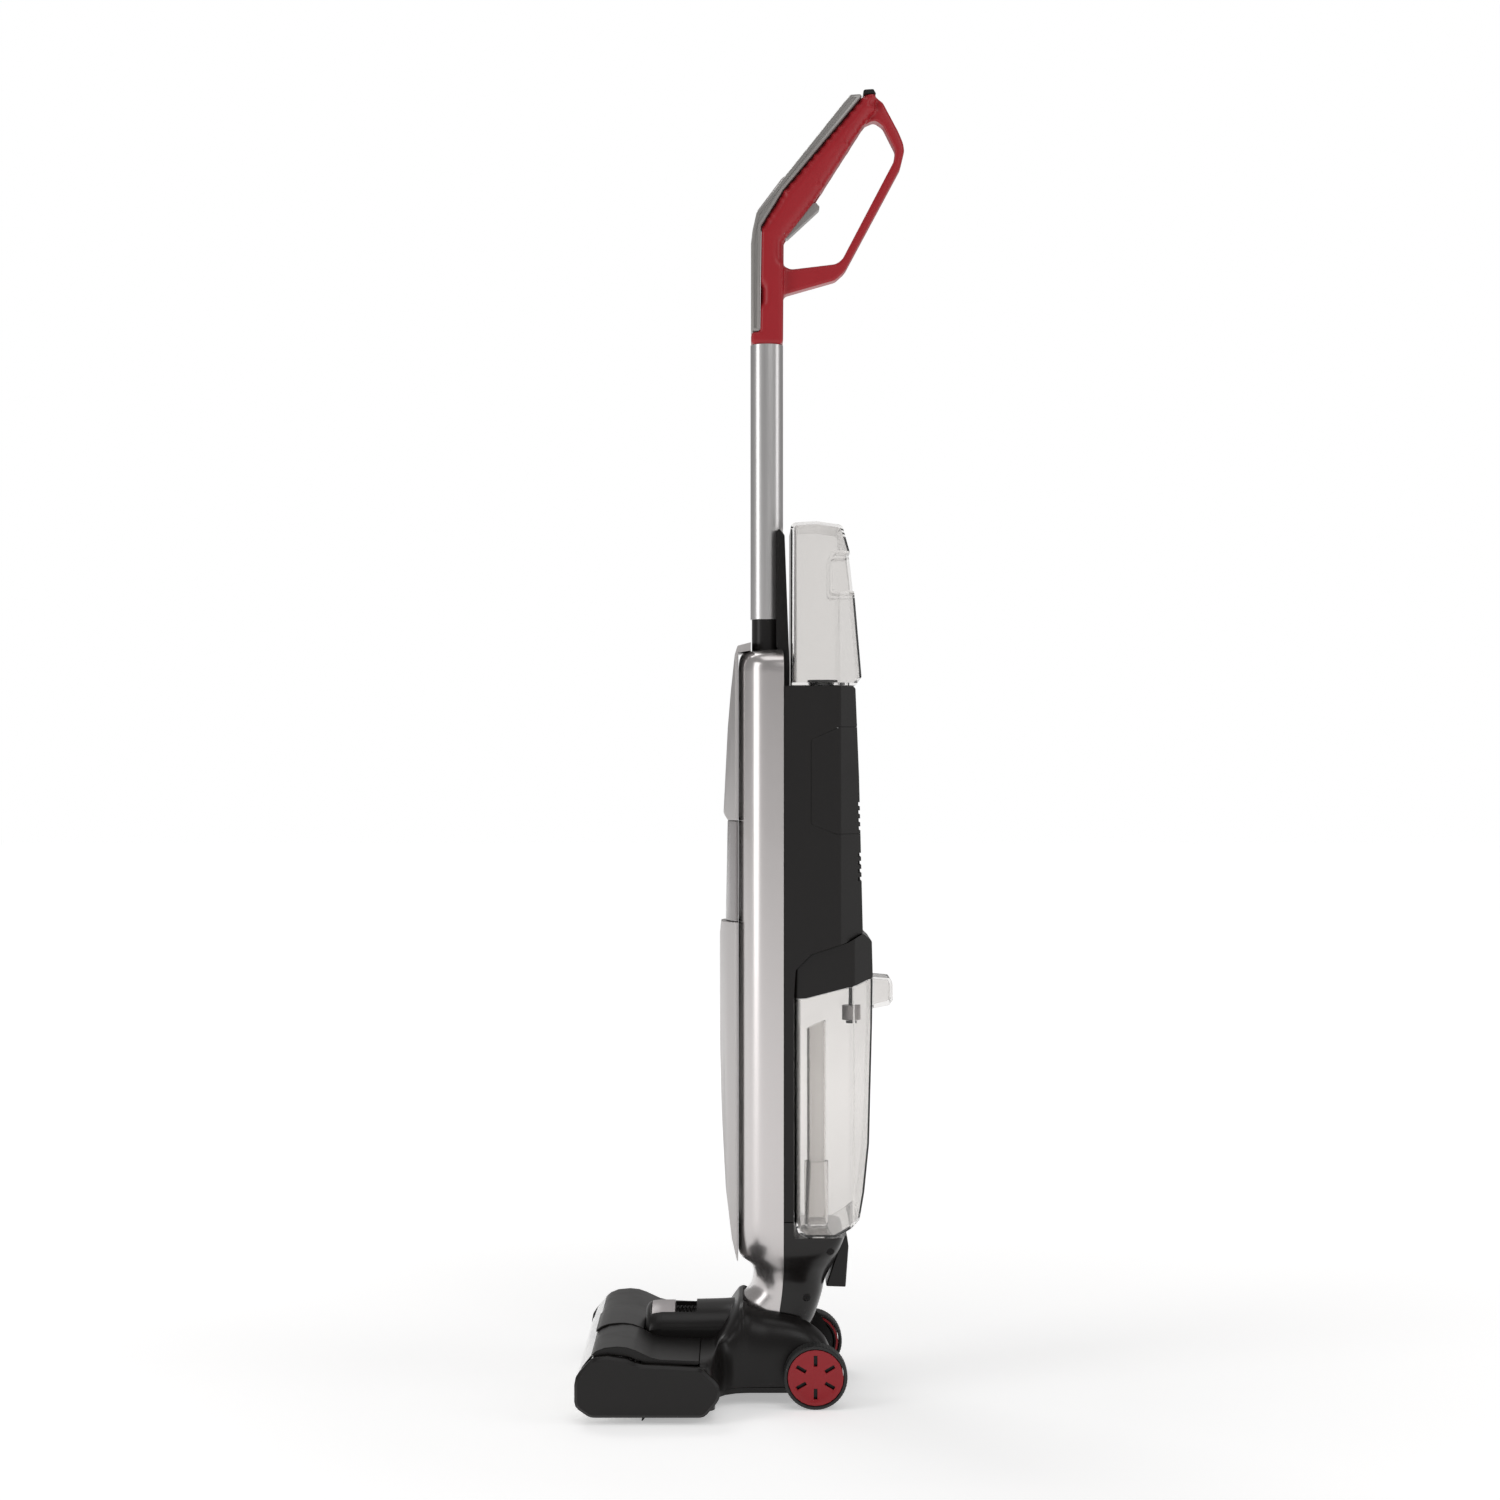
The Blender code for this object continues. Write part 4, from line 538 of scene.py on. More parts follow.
def hand_over(item, node, finish, *more):
    """Give a piece its finish and let it stand for the node it was made from."""
    item.data.materials.clear()
    item.data.materials.append(finish)
    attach(item, body_of(node))
    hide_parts(node, *more)
    return item


def dress(node, finish, width=None, segments=3, angle=33):
    """A rounded copy of a node in a finish."""
    item = copy_of(node)
    round_edges(item, sizes().casing_edge if width is None else width, segments, angle)
    return hand_over(item, node, finish)


def paint(node, finish):
    """A finish on a node whose shape stays as it is."""
    item = frame["nodes"][node]
    item.data.materials.clear()
    item.data.materials.append(finish)


def between(points, at):
    """Smooth value at a place along (place, value) points, with no overshoot."""
    if at <= points[0][0]:
        return points[0][1]
    if at >= points[-1][0]:
        return points[-1][1]
    index = max(i for i, point in enumerate(points) if point[0] <= at)
    (a, p), (b, q) = points[index], points[index + 1]
    slopes = [(points[i + 1][1] - points[i][1]) / (points[i + 1][0] - points[i][0])
              for i in range(len(points) - 1)]

    def slope_at(i):
        if i == 0 or i == len(points) - 1:
            return slopes[0] if i == 0 else slopes[-1]
        before, after = slopes[i - 1], slopes[i]
        return 0.0 if before * after <= 0 else 2 * before * after / (before + after)

    t, step = (at - a) / (b - a), b - a
    return ((2 * t ** 3 - 3 * t ** 2 + 1) * p + (t ** 3 - 2 * t ** 2 + t) * step * slope_at(index)
            + (3 * t ** 2 - 2 * t ** 3) * q + (t ** 3 - t ** 2) * step * slope_at(index + 1))


def formed_sheet(name, across, along, place):
    """A flat grid whose points are moved to their places on a surface."""
    deselect()
    bpy.ops.mesh.primitive_grid_add(x_subdivisions=across, y_subdivisions=along, size=2)
    item = fresh(name)
    for vertex in item.data.vertices:
        vertex.co = place((vertex.co.x + 1) / 2, (vertex.co.y + 1) / 2)
    return item


def ring(name, count, radius, location=(0, 0, 0), rotation=(0, 0, 0)):
    """An open ring of edges, to be extruded or spun."""
    deselect()
    bpy.ops.mesh.primitive_circle_add(vertices=count, radius=radius, fill_type="NOTHING",
                                      location=location, rotation=rotation)
    return settle(fresh(name))


def rounded(wave, power):
    """A sine or cosine raised to a power, its sign kept, for squared-off rounds."""
    return math.copysign(abs(wave) ** power, wave)


def way_back(u, share):
    """From -1 to 1 along the straight side that closes a section after its rounded share."""
    return 2 * (u - share) / (1 - share) - 1


# ---------------------------------------------------------------- upright: bright shell
# Profiles in millimetres: (height, value)
NECK_FRONT = ((60, -6.0), (78, -5.0), (84, -1.5), (90, 4.7), (97, 7.5), (105, 8.5), (112, 7.0),
              (117, 2.0), (121, -3.2), (126, -4.7), (700, -4.7))
NECK_WIDTH = ((60, 37.9), (90, 37.9), (99, 38.9), (108, 42.4), (118, 48.6), (128, 54.4),
              (138, 58.0), (148, 59.5), (158, 59.9), (640, 59.9))
NECK_SEAM = ((60, 30.0), (75, 31.4), (94, 33.8), (112, 34.8), (700, 34.8))
SQUARENESS = ((60, 2.5), (104, 2.5), (124, 2.9), (150, 3.3), (700, 3.3))
SHELL_FOOT, SHELL_SHOULDER, SHELL_TOP = 66.0, 632.0, 654.8
BODY_SHARE = 0.90              # share of the rows that lie below the shoulder
NECK_ROWS, NECK_RISE = 0.55, 0.30    # of those rows, the share in this lowest part of the rise
COLLAR_HALF, COLLAR_SEAM, COLLAR_DEPTH = 18.0, 33.0, 25.5    # opening at the shell's top
TOP_DISH = 3.5


def shell_point(u, v):
    """Point of the bright shell: u round the section from seam to seam, v up the body."""
    if v < BODY_SHARE:
        part = v / BODY_SHARE
        if part < NECK_ROWS:
            climb = NECK_RISE * part / NECK_ROWS
        else:
            climb = NECK_RISE + (1 - NECK_RISE) * (part - NECK_ROWS) / (1 - NECK_ROWS)
        height = SHELL_FOOT + (SHELL_SHOULDER - SHELL_FOOT) * climb
        shrink = 0.0
    else:
        turn = (v - BODY_SHARE) / (1 - BODY_SHARE) * math.pi / 2
        height = SHELL_SHOULDER + (SHELL_TOP - SHELL_SHOULDER) * math.sin(turn)
        shrink = 1 - math.cos(turn)
    front, half, seam, square = (between(profile, height) for profile in
                                 (NECK_FRONT, NECK_WIDTH, NECK_SEAM, SQUARENESS))
    angle = math.pi * u
    x = half * rounded(math.cos(angle), 2 / square)
    y = seam - (seam - front) * abs(math.sin(angle)) ** (2 / square)
    if shrink:
        ease = shrink ** 1.6
        x += (COLLAR_HALF * math.cos(angle) - x) * ease
        y += (COLLAR_SEAM - COLLAR_DEPTH * abs(math.sin(angle)) - y) * ease
        height -= TOP_DISH * ease * abs(math.sin(angle)) * shrink
    return Vector((x, y, height)) * MM


class SCRUBBER_OT_bright_shell(bpy.types.Operator):
    """Form the silver front shell with its polished neck"""
    bl_idname = "scrubber.bright_shell"
    bl_label = "Bright shell"

    def execute(self, context):
        shell = face_out(formed_sheet("front_shell_fine", 72, 190, shell_point))
        apply_modifier(shell, "SOLIDIFY", thickness=sizes().casing_wall, offset=-1.0)
        round_edges(shell, 0.35 * MM, 2, 50)
        hand_over(shell, "front_shell", silver_lacquer())
        return {"FINISHED"}


class SCRUBBER_OT_front_panels(bpy.types.Operator):
    """Round off the raised front panels and the recessed insert"""
    bl_idname = "scrubber.front_panels"
    bl_label = "Front panels"

    def execute(self, context):
        dress("front_panel_upper", panel_satin(), 1.1 * MM)
        dress("front_panel_lower", panel_satin(), 1.1 * MM)
        dress("panel_insert", insert_satin(), 0.6 * MM)
        return {"FINISHED"}


class SCRUBBER_OT_rear_body(bpy.types.Operator):
    """Round off the black rear housing, hatch, cradle and shroud"""
    bl_idname = "scrubber.rear_body"
    bl_label = "Rear body"

    def execute(self, context):
        dress("rear_shell", black_grained(), 0.6 * MM)
        dress("battery_hatch", black_grained(), 0.2 * MM, 2)
        dress("tank_cradle", black_satin(), 0.6 * MM)
        dress("charging_shroud", black_satin(), 0.5 * MM)
        return {"FINISHED"}


# ---------------------------------------------------------------- upright: black half of the neck
NECK_REAR = ((40, 61.0), (58, 58.8), (68, 62.8), (89, 69.4), (97, 71.0), (115, 78.9),
             (142, 88.6), (157, 93.0))
REAR_SQUARENESS = ((60, 3.0), (104, 3.2), (118, 4.2), (134, 7.0), (160, 9.0))
NECK_LOW, NECK_TOP = 56.0, 156.2
REAR_SHARE = 0.8               # share of the section that goes round the rear
PIVOT_Y, PIVOT_Z = 45, 38      # axis on which the upright leans back
AXLE_Y, AXLE_Z = 61.75, 27.5


def neck_point(u, v):
    """Point of the neck's black half: u round the rear and back along the seam, v upwards."""
    height = NECK_LOW + (NECK_TOP - NECK_LOW) * v
    half, seam = between(NECK_WIDTH, height), between(NECK_SEAM, height) + 0.3
    rear, square = between(NECK_REAR, height), between(REAR_SQUARENESS, height)
    if u > REAR_SHARE:
        return Vector((half * way_back(u, REAR_SHARE), seam, height)) * MM
    angle = math.pi * u / REAR_SHARE
    return Vector((half * rounded(math.cos(angle), 2 / square),
                   seam + (rear - seam) * abs(math.sin(angle)) ** (2 / square), height)) * MM


def rounded_cutter(name, low, high, radius, segments=5):
    """Box between two corners in millimetres, its edges rounded."""
    low, high = Vector(low) * MM, Vector(high) * MM
    deselect()
    bpy.ops.mesh.primitive_cube_add(size=1, location=(low + high) / 2)
    item = fresh(name)
    item.scale = high - low
    settle(item)
    if radius:
        apply_modifier(item, "BEVEL", width=radius * MM, segments=segments)
    return item


def cylinder_cutter(name, start, end, radius, sides=48):
    """Cylinder between two points in millimetres."""
    start, end = Vector(start) * MM, Vector(end) * MM
    deselect()
    bpy.ops.mesh.primitive_cylinder_add(vertices=sides, radius=radius * MM,
                                        depth=(end - start).length, location=(start + end) / 2)
    item = fresh(name)
    item.rotation_euler = (end - start).to_track_quat("Z", "Y").to_euler()
    return settle(item)


def carve(item, cutter, operation="DIFFERENCE"):
    """Cut a shape away, or join it, and remove it from the scene."""
    apply_modifier(item, "BOOLEAN", object=cutter, operation=operation, solver="EXACT")
    bpy.data.objects.remove(cutter)


def crown(item, reach, least):
    """Thin a slab towards its outline, so that both its faces are crowned."""
    near_face = 1.9 * MM
    outer = max(vertex.co.x for vertex in item.data.vertices) - near_face
    rim = [vertex.co.copy() for vertex in item.data.vertices
           if abs(vertex.normal.x) < 0.5 and abs(vertex.co.x) > outer]
    tree = KDTree(len(rim))
    for index, place in enumerate(rim):
        tree.insert((0, place.y, place.z), index)
    tree.balance()
    for vertex in item.data.vertices:
        inside = min(tree.find((0, vertex.co.y, vertex.co.z))[2] / reach, 1.0)
        vertex.co.x *= least + (1 - least) * math.sqrt(1 - (1 - inside) ** 2)


def close_rims(item):
    """Fill every open rim with a face."""
    with editing(item, "DESELECT"):
        bpy.ops.mesh.select_mode(type="EDGE")
        bpy.ops.mesh.select_non_manifold()
        bpy.ops.mesh.edge_face_add()
    return face_out(item)


def select_faces(item, wanted):
    """Select the faces whose centre and normal pass a test."""
    with editing(item, "DESELECT"):
        bpy.ops.mesh.select_mode(type="FACE")
    for face in item.data.polygons:
        face.select = wanted(face.center / MM, face.normal)


class SCRUBBER_OT_neck(bpy.types.Operator):
    """Form the black half of the neck with its sunk screws"""
    bl_idname = "scrubber.neck"
    bl_label = "Neck"

    def execute(self, context):
        neck = close_rims(face_out(formed_sheet("neck_shell_fine", 100, 90, neck_point)))
        carve(neck, rounded_cutter("tank_foot", (-80, 43.4, 142.2), (80, 130, 190), 3.0))
        carve(neck, cylinder_cutter("duct_port", (0, 65, 110), (0, 65, 170), 13.0))
        carve(neck, cylinder_cutter("knuckle", (-37.5, PIVOT_Y, PIVOT_Z),
                                    (37.5, PIVOT_Y, PIVOT_Z), 16.8, 64), "UNION")
        for side in (-1, 1):
            carve(neck, cylinder_cutter("bore", (side * 26, PIVOT_Y, PIVOT_Z),
                                        (side * 60, PIVOT_Y, PIVOT_Z), 5.2, 32))
        for y, z, depth, reach in ((55.0, 87.0, 31.4, 60), (75.5, 130.0, 49.4, 80)):
            carve(neck, cylinder_cutter("screw_hole", (depth, y, z), (reach, y, z), 3.4, 32))
        carve(neck, rounded_cutter("neck_inside", (-26, 20, 66), (26, 59, 120), 6.0))
        carve(neck, rounded_cutter("chest_inside", (-54, 20, 128), (54, 78, 139.5), 3.0))
        round_edges(neck, 0.5 * MM, 2, 42)
        hand_over(neck, "neck_shell", black_polished())
        dress("neck_screw_upper", blackened_steel(), 0.15 * MM, 2)
        dress("neck_screw_lower", blackened_steel(), 0.15 * MM, 2)
        return {"FINISHED"}


class SCRUBBER_OT_tanks(bpy.types.Operator):
    """Clear clean and dirty water tanks with their lid, standpipe, filter and float"""
    bl_idname = "scrubber.tanks"
    bl_label = "Water tanks"

    def execute(self, context):
        dress("clean_tank", clear_plastic(), 0.5 * MM)
        dress("clean_tank_cap", black_satin(), 0.3 * MM)
        dress("dirty_tank", clear_plastic(), 0.5 * MM)
        dress("standpipe", smoked_plastic(), 0.3 * MM)
        dress("dirty_tank_lid", black_satin(), 0.7 * MM)
        dress("tank_release", button_satin(), 0.4 * MM)
        dress("float", button_satin(), 0.3 * MM)
        dress("tank_filter", foam(), 0.5 * MM)
        return {"FINISHED"}


class SCRUBBER_OT_handle(bpy.types.Operator):
    """Oval tube, looped red grip, grey trim, buttons and trigger"""
    bl_idname = "scrubber.handle"
    bl_label = "Handle"

    def execute(self, context):
        dress("handle_tube", satin_aluminium(), 0.2 * MM, 2, 50)
        self.grip()
        self.trim()
        dress("handle_end_cap", black_satin(), sizes().trim_edge)
        dress("mode_button", button_satin(), sizes().trim_edge)
        dress("trigger", trim_satin(), sizes().trim_edge)
        paint("trigger_pin", steel())
        return {"FINISHED"}

    @staticmethod
    def trim():
        """Grey strip with a fine groove along the middle of each side."""
        trim = copy_of("handle_trim")
        select_faces(trim, lambda centre, normal: abs(normal.x) > 0.97 and abs(centre.x) > 12)
        with editing(trim, None):
            bpy.ops.mesh.inset(thickness=1.25 * MM, depth=0)
            bpy.ops.mesh.inset(thickness=0.15 * MM, depth=-0.8 * MM)
        smooth(trim, 35)
        hand_over(trim, "handle_trim", trim_satin())

    @staticmethod
    def grip():
        """Both halves of the loop as one softly rounded moulding with a fine parting line."""
        grip = copy_of("handle_shell_left")
        other = copy_of("handle_shell_right")
        for half, side in ((grip, 1), (other, -1)):
            for vertex in half.data.vertices:
                if abs(vertex.co.x) < 0.35 * MM:
                    vertex.co.x = -side * 0.15 * MM
        carve(grip, other, "UNION")
        apply_modifier(grip, "REMESH", mode="VOXEL", voxel_size=1.0 * MM, adaptivity=0.0)
        crown(grip, 8.5 * MM, 0.42)
        apply_modifier(grip, "SMOOTH", factor=0.5, iterations=14)
        smooth(grip, 60)
        carve(grip, rounded_cutter("parting", (-0.12, -50, 880), (0.12, 200, 1200), 0))
        hand_over(grip, "handle_shell_left", red_satin(), "handle_shell_right")


# ---------------------------------------------------------------- head
# Stations of the upper shell from front to rear: place, half width, height, squareness
HEAD_STATIONS = ((-72.7, 132.2, 47.3, 12), (-50, 132.2, 47.3, 12), (-37.6, 132.2, 47.3, 12),
                 (-36.9, 132.2, 51.6, 12), (-31.5, 131.6, 51.8, 11), (-27.5, 128.0, 52.0, 10),
                 (-25.0, 119.0, 52.6, 9), (-23.6, 104.0, 54.0, 8), (-22.0, 88.0, 56.5, 6.5),
                 (-18.5, 76.0, 62.0, 5), (-13.0, 69.5, 71.5, 4.2), (-7.5, 65.6, 80.5, 4.2),
                 (-3.2, 64.0, 85.6, 4.2), (0.0, 63.2, 86.3, 4.4), (7.0, 62.2, 84.0, 4),
                 (17.0, 61.5, 80.5, 4), (30.0, 61.2, 78.0, 4.2), (43.0, 61.0, 75.0, 4.4),
                 (55.0, 60.5, 70.2, 4.6), (64.0, 59.6, 63.5, 4.8), (70.5, 58.4, 56.0, 5),
                 (75.6, 56.4, 46.0, 5))
HEAD_LOW = 14.4
HEAD_SHARE = 0.85              # share of the section that goes over the top
# Stations of the ridge from front to rear: place, half width, top, bottom
RIDGE_STATIONS = ((-86.2, 27.0, 72.0, 53.5), (-85.2, 31.5, 73.5, 53.5), (-82.6, 34.6, 75.9, 53.5),
                  (-76.5, 35.6, 77.6, 53.5), (-72.4, 35.7, 78.2, 53.5), (-71.6, 35.7, 78.3, 46.0),
                  (-52.0, 35.7, 78.3, 46.0), (-21.0, 35.7, 78.9, 46.0), (-9.0, 37.0, 79.6, 46.0),
                  (-2.4, 39.0, 80.6, 46.0))
RIDGE_SIDE, RIDGE_SHARE = 0.08, 0.88    # shares of one side wall, and of walls and top together
RIDGE_CROWN = 18.0             # height of the crowned top above the side walls
# Top of the brush cover from front to rear: place, height
COVER_ARCH = ((-127.7, 57.3), (-124.0, 60.4), (-117.0, 63.2), (-106.0, 64.2), (-98.0, 63.4),
              (-91.0, 61.0), (-78.0, 55.0), (-70.0, 53.1), (-37.5, 51.8))


def station(stations, v):
    """Smooth values at a place between the first and last station."""
    at = v * (len(stations) - 1)
    return [between([(i, row[column]) for i, row in enumerate(stations)], at)
            for column in range(len(stations[0]))]


def head_point(u, v):
    """Point of the upper shell: u over the section and back underneath, v from front to rear."""
    y, half, top, square = station(HEAD_STATIONS, v)
    if u > HEAD_SHARE:
        return Vector((half * way_back(u, HEAD_SHARE), y, HEAD_LOW)) * MM
    angle = math.pi * u / HEAD_SHARE
    return Vector((half * rounded(math.cos(angle), 2 / square), y,
                   HEAD_LOW + (top - HEAD_LOW) * abs(math.sin(angle)) ** (2 / square))) * MM


def ridge_point(u, v):
    """Point of the ridge on the upper shell, with a crowned top."""
    y, half, top, low = station(RIDGE_STATIONS, v)
    if u > RIDGE_SHARE:
        return Vector((half * way_back(u, RIDGE_SHARE), y, low)) * MM
    top_share = RIDGE_SHARE - 2 * RIDGE_SIDE
    if not RIDGE_SIDE < u < RIDGE_SIDE + top_share:
        side, way_up = (1, u) if u < 0.5 else (-1, RIDGE_SHARE - u)
        height = low + (top - RIDGE_CROWN - low) * way_up / RIDGE_SIDE
        return Vector((side * half, y, height)) * MM
    x, z = ridge_arch((u - RIDGE_SIDE) / top_share, half, top)
    return Vector((x, y, z)) * MM


def ridge_arch(part, half, top):
    """Point across the ridge's crowned top, from the left crease to the right one."""
    start = math.radians(24)
    angle = start + (math.pi - 2 * start) * part
    rise = (math.sin(angle) - math.sin(start)) / (1 - math.sin(start))
    return (half * math.cos(angle) / math.cos(start),
            top - RIDGE_CROWN + RIDGE_CROWN * rise ** 0.85)


class SCRUBBER_OT_head_shell(bpy.types.Operator):
    """Form the upper shell that flares round the neck, and the ridge with its latch"""
    bl_idname = "scrubber.head_shell"
    bl_label = "Head shell"

    def execute(self, context):
        shell = close_rims(face_out(
            formed_sheet("head_upper_shell_fine", 130, 160, head_point)))
        carve(shell, rounded_cutter("neck_well", (-41.6, -1.0, -20), (41.6, 120, 120), 9.0))
        carve(shell, rounded_cutter("belt_way", (114, -90, 0), (126, -60, 42.6), 0))
        select_faces(shell, lambda centre, normal: normal.z < -0.9 and centre.z < HEAD_LOW + 0.4)
        with editing(shell, None):
            bpy.ops.mesh.delete(type="FACE")
        apply_modifier(shell, "SOLIDIFY", thickness=2.3 * MM, offset=-1.0)
        ridge = close_rims(face_out(formed_sheet("ridge", 75, 60, ridge_point)))
        carve(ridge, rounded_cutter("latch_way", (-24.6, -81.4, 66.5), (24.6, -41.5, 95), 2.4))
        carve(ridge, rounded_cutter("ridge_inside", (-30, -68, 30), (30, 10, 58.5), 2.0))
        carve(shell, ridge, "UNION")
        carve(shell, cylinder_cutter("hose_way", (0, -30, 40.5), (0, 5, 40.5), 15.8))
        carve(shell, cylinder_cutter("hose_entry", (0, -80, 24.5), (0, -60, 24.5), 12.0))
        for side in (-1, 1):
            carve(shell, cylinder_cutter("pin_way", (side * 30, PIVOT_Y, PIVOT_Z),
                                         (side * 50, PIVOT_Y, PIVOT_Z), 5.4, 32))
            carve(shell, cylinder_cutter("axle_way", (side * 40, AXLE_Y, AXLE_Z),
                                         (side * 70, AXLE_Y, AXLE_Z), 3.9, 32))
        round_edges(shell, 0.9 * MM, 3, 40)
        hand_over(shell, "head_upper_shell", black_satin())
        self.latch()
        return {"FINISHED"}

    @staticmethod
    def latch():
        """Thumb button that follows the crown of the ridge."""
        half, foot, rise = 23.8, 67.2, 11.0
        front, brow = -80.8, -70.0
        button = rounded_cutter("latch_button_fine", (-half, front, foot),
                                (half, -60.6, foot + rise), 0)
        with editing(button):
            bpy.ops.mesh.subdivide(number_cuts=15)
        for vertex in button.data.vertices:
            x, y, z = vertex.co / MM
            dip = 6.3 * abs(x / half) ** 1.8
            rake = max(0.0, (brow - y) / (brow - front)) ** 2
            vertex.co.z = (foot + (10.9 - dip - rake) * (z - foot) / rise) * MM
        round_edges(button, 1.1 * MM, 3, 40)
        hand_over(button, "latch_button", button_satin())


class SCRUBBER_OT_head(bpy.types.Operator):
    """Cover, window, end caps and pan of the brush head"""
    bl_idname = "scrubber.head"
    bl_label = "Brush head"

    def execute(self, context):
        dress("head_base", black_satin(), 0.5 * MM)
        dress("end_cap_left", black_satin(), 0.8 * MM)
        dress("end_cap_right", black_satin(), 0.8 * MM)
        dress("brush_cover", black_satin(), 0.5 * MM)
        self.cover_plate()
        for side, word in ((1, "left"), (-1, "right")):
            self.cover_rim(side, word)
        dress("brush_window", clear_plastic(), 0.3 * MM)
        dress("squeegee_blade", rubber(), 0.3 * MM)
        dress("spray_bar", black_satin(), 0.2 * MM)
        self.soft_parts()
        for node in ("axle_left", "axle_right", "pivot_pin_left", "pivot_pin_right"):
            paint(node, steel())
        return {"FINISHED"}

    @staticmethod
    def soft_parts():
        """Spring under the latch and the suction hose, as smoothed copies in their finishes."""
        spring = hand_over(smooth(copy_of("latch_spring"), 50), "latch_spring", blackened_steel())
        low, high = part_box("latch_spring")
        travel = next(joint["range_m"][1] for joint in frame["joints"]
                      if joint["name"] == "latch_slide")
        max(0.02, 1 - travel / (high.y - low.y))
        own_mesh(spring)
        hose = smooth(copy_of("suction_hose"), 60)
        hose.data.materials.clear()
        hose.data.materials.append(rubber())
        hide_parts("suction_hose")
        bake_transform(hose)

    @staticmethod
    def cover_plate():
        """Raised middle of the cover in front of the ridge."""
        def place(u, v):
            front, length, half = -128.2, 40.6, 37.5 - 2.5 * v
            y = front + length * v
            height = between(COVER_ARCH, y) + 1.5 - 0.9 * v
            return Vector((half * (1 - 2 * u), y - (1 - v), height)) * MM
        plate = face_out(formed_sheet("brush_cover_plate", 20, 40, place))
        apply_modifier(plate, "SOLIDIFY", thickness=1.7 * MM, offset=-1.0)
        round_edges(plate, 0.45 * MM, 3, 40)
        plate.data.materials.append(black_satin())
        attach(plate, "brush_cover")

    @staticmethod
    def cover_rim(side, word):
        """End wall of the cover's arch, down to the end cap's top edge."""
        def place(u, v):
            front, length, cap_top = -126.6, 88.0, 48.5
            y = front + length * u
            high = between(COVER_ARCH, y) - 0.6
            low = max(cap_top, high - 6.5) if y > -88 else high - 7.5
            return Vector((side * 131.9, y, low + (high - low) * v)) * MM
        rim = face_out(formed_sheet("brush_cover_rim_" + word, 60, 6, place))
        apply_modifier(rim, "SOLIDIFY", thickness=1.4 * MM, offset=0.0)
        round_edges(rim, 0.3 * MM, 2, 40)
        rim.data.materials.append(black_satin())
        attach(rim, "brush_cover")


RINGS = 150                    # rows of the roller along its length
CORE_SHARE = 0.66              # the core's radius as a share of the roller's
END_ROUND = 4 * MM


def ruffle(turn, x):
    """Uneven lie of the pile, from crossing waves round and along the roller."""
    return (math.sin(turn * 55 + x * 900) * math.sin(x * 1300 + turn * 21)
            + math.sin(turn * 97 - x * 2100) * 0.6)


class SCRUBBER_OT_roller(bpy.types.Operator):
    """Soft roller with ruffled pile on its core"""
    bl_idname = "scrubber.roller"
    bl_label = "Roller"

    def execute(self, context):
        low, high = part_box("roller_sleeve")
        middle = (low + high) / 2
        radius = (high.z - low.z) / 2
        pile = ring("roller_pile", 220, radius, (high.x, middle.y, middle.z),
                    (0, math.pi / 2, 0))
        step = (high.x - low.x) / RINGS
        with editing(pile):
            for _ in range(RINGS):
                bpy.ops.mesh.extrude_region_move(TRANSFORM_OT_translate={"value": (-step, 0, 0)})
        for vertex in pile.data.vertices:
            spoke = Vector((0, vertex.co.y - middle.y, vertex.co.z - middle.z)).normalized()
            turn = math.atan2(spoke.z, spoke.y)
            end = min(high.x - vertex.co.x, vertex.co.x - low.x)
            drop = sizes().pile_depth * (0.5 + 0.3 * ruffle(turn, vertex.co.x))
            drop += END_ROUND * max(0.0, 1 - end / END_ROUND) ** 2
            vertex.co -= spoke * max(0.0, drop)
        with editing(pile, "DESELECT"):
            bpy.ops.mesh.select_non_manifold()
            bpy.ops.mesh.extrude_region_move()
            bpy.ops.transform.resize(value=(1, CORE_SHARE, CORE_SHARE), center_override=middle)
        face_out(pile)
        smooth(pile, 60)
        hand_over(pile, "roller_sleeve", soft_pile())
        dress("roller_core", button_satin(), 0.3 * MM)
        return {"FINISHED"}


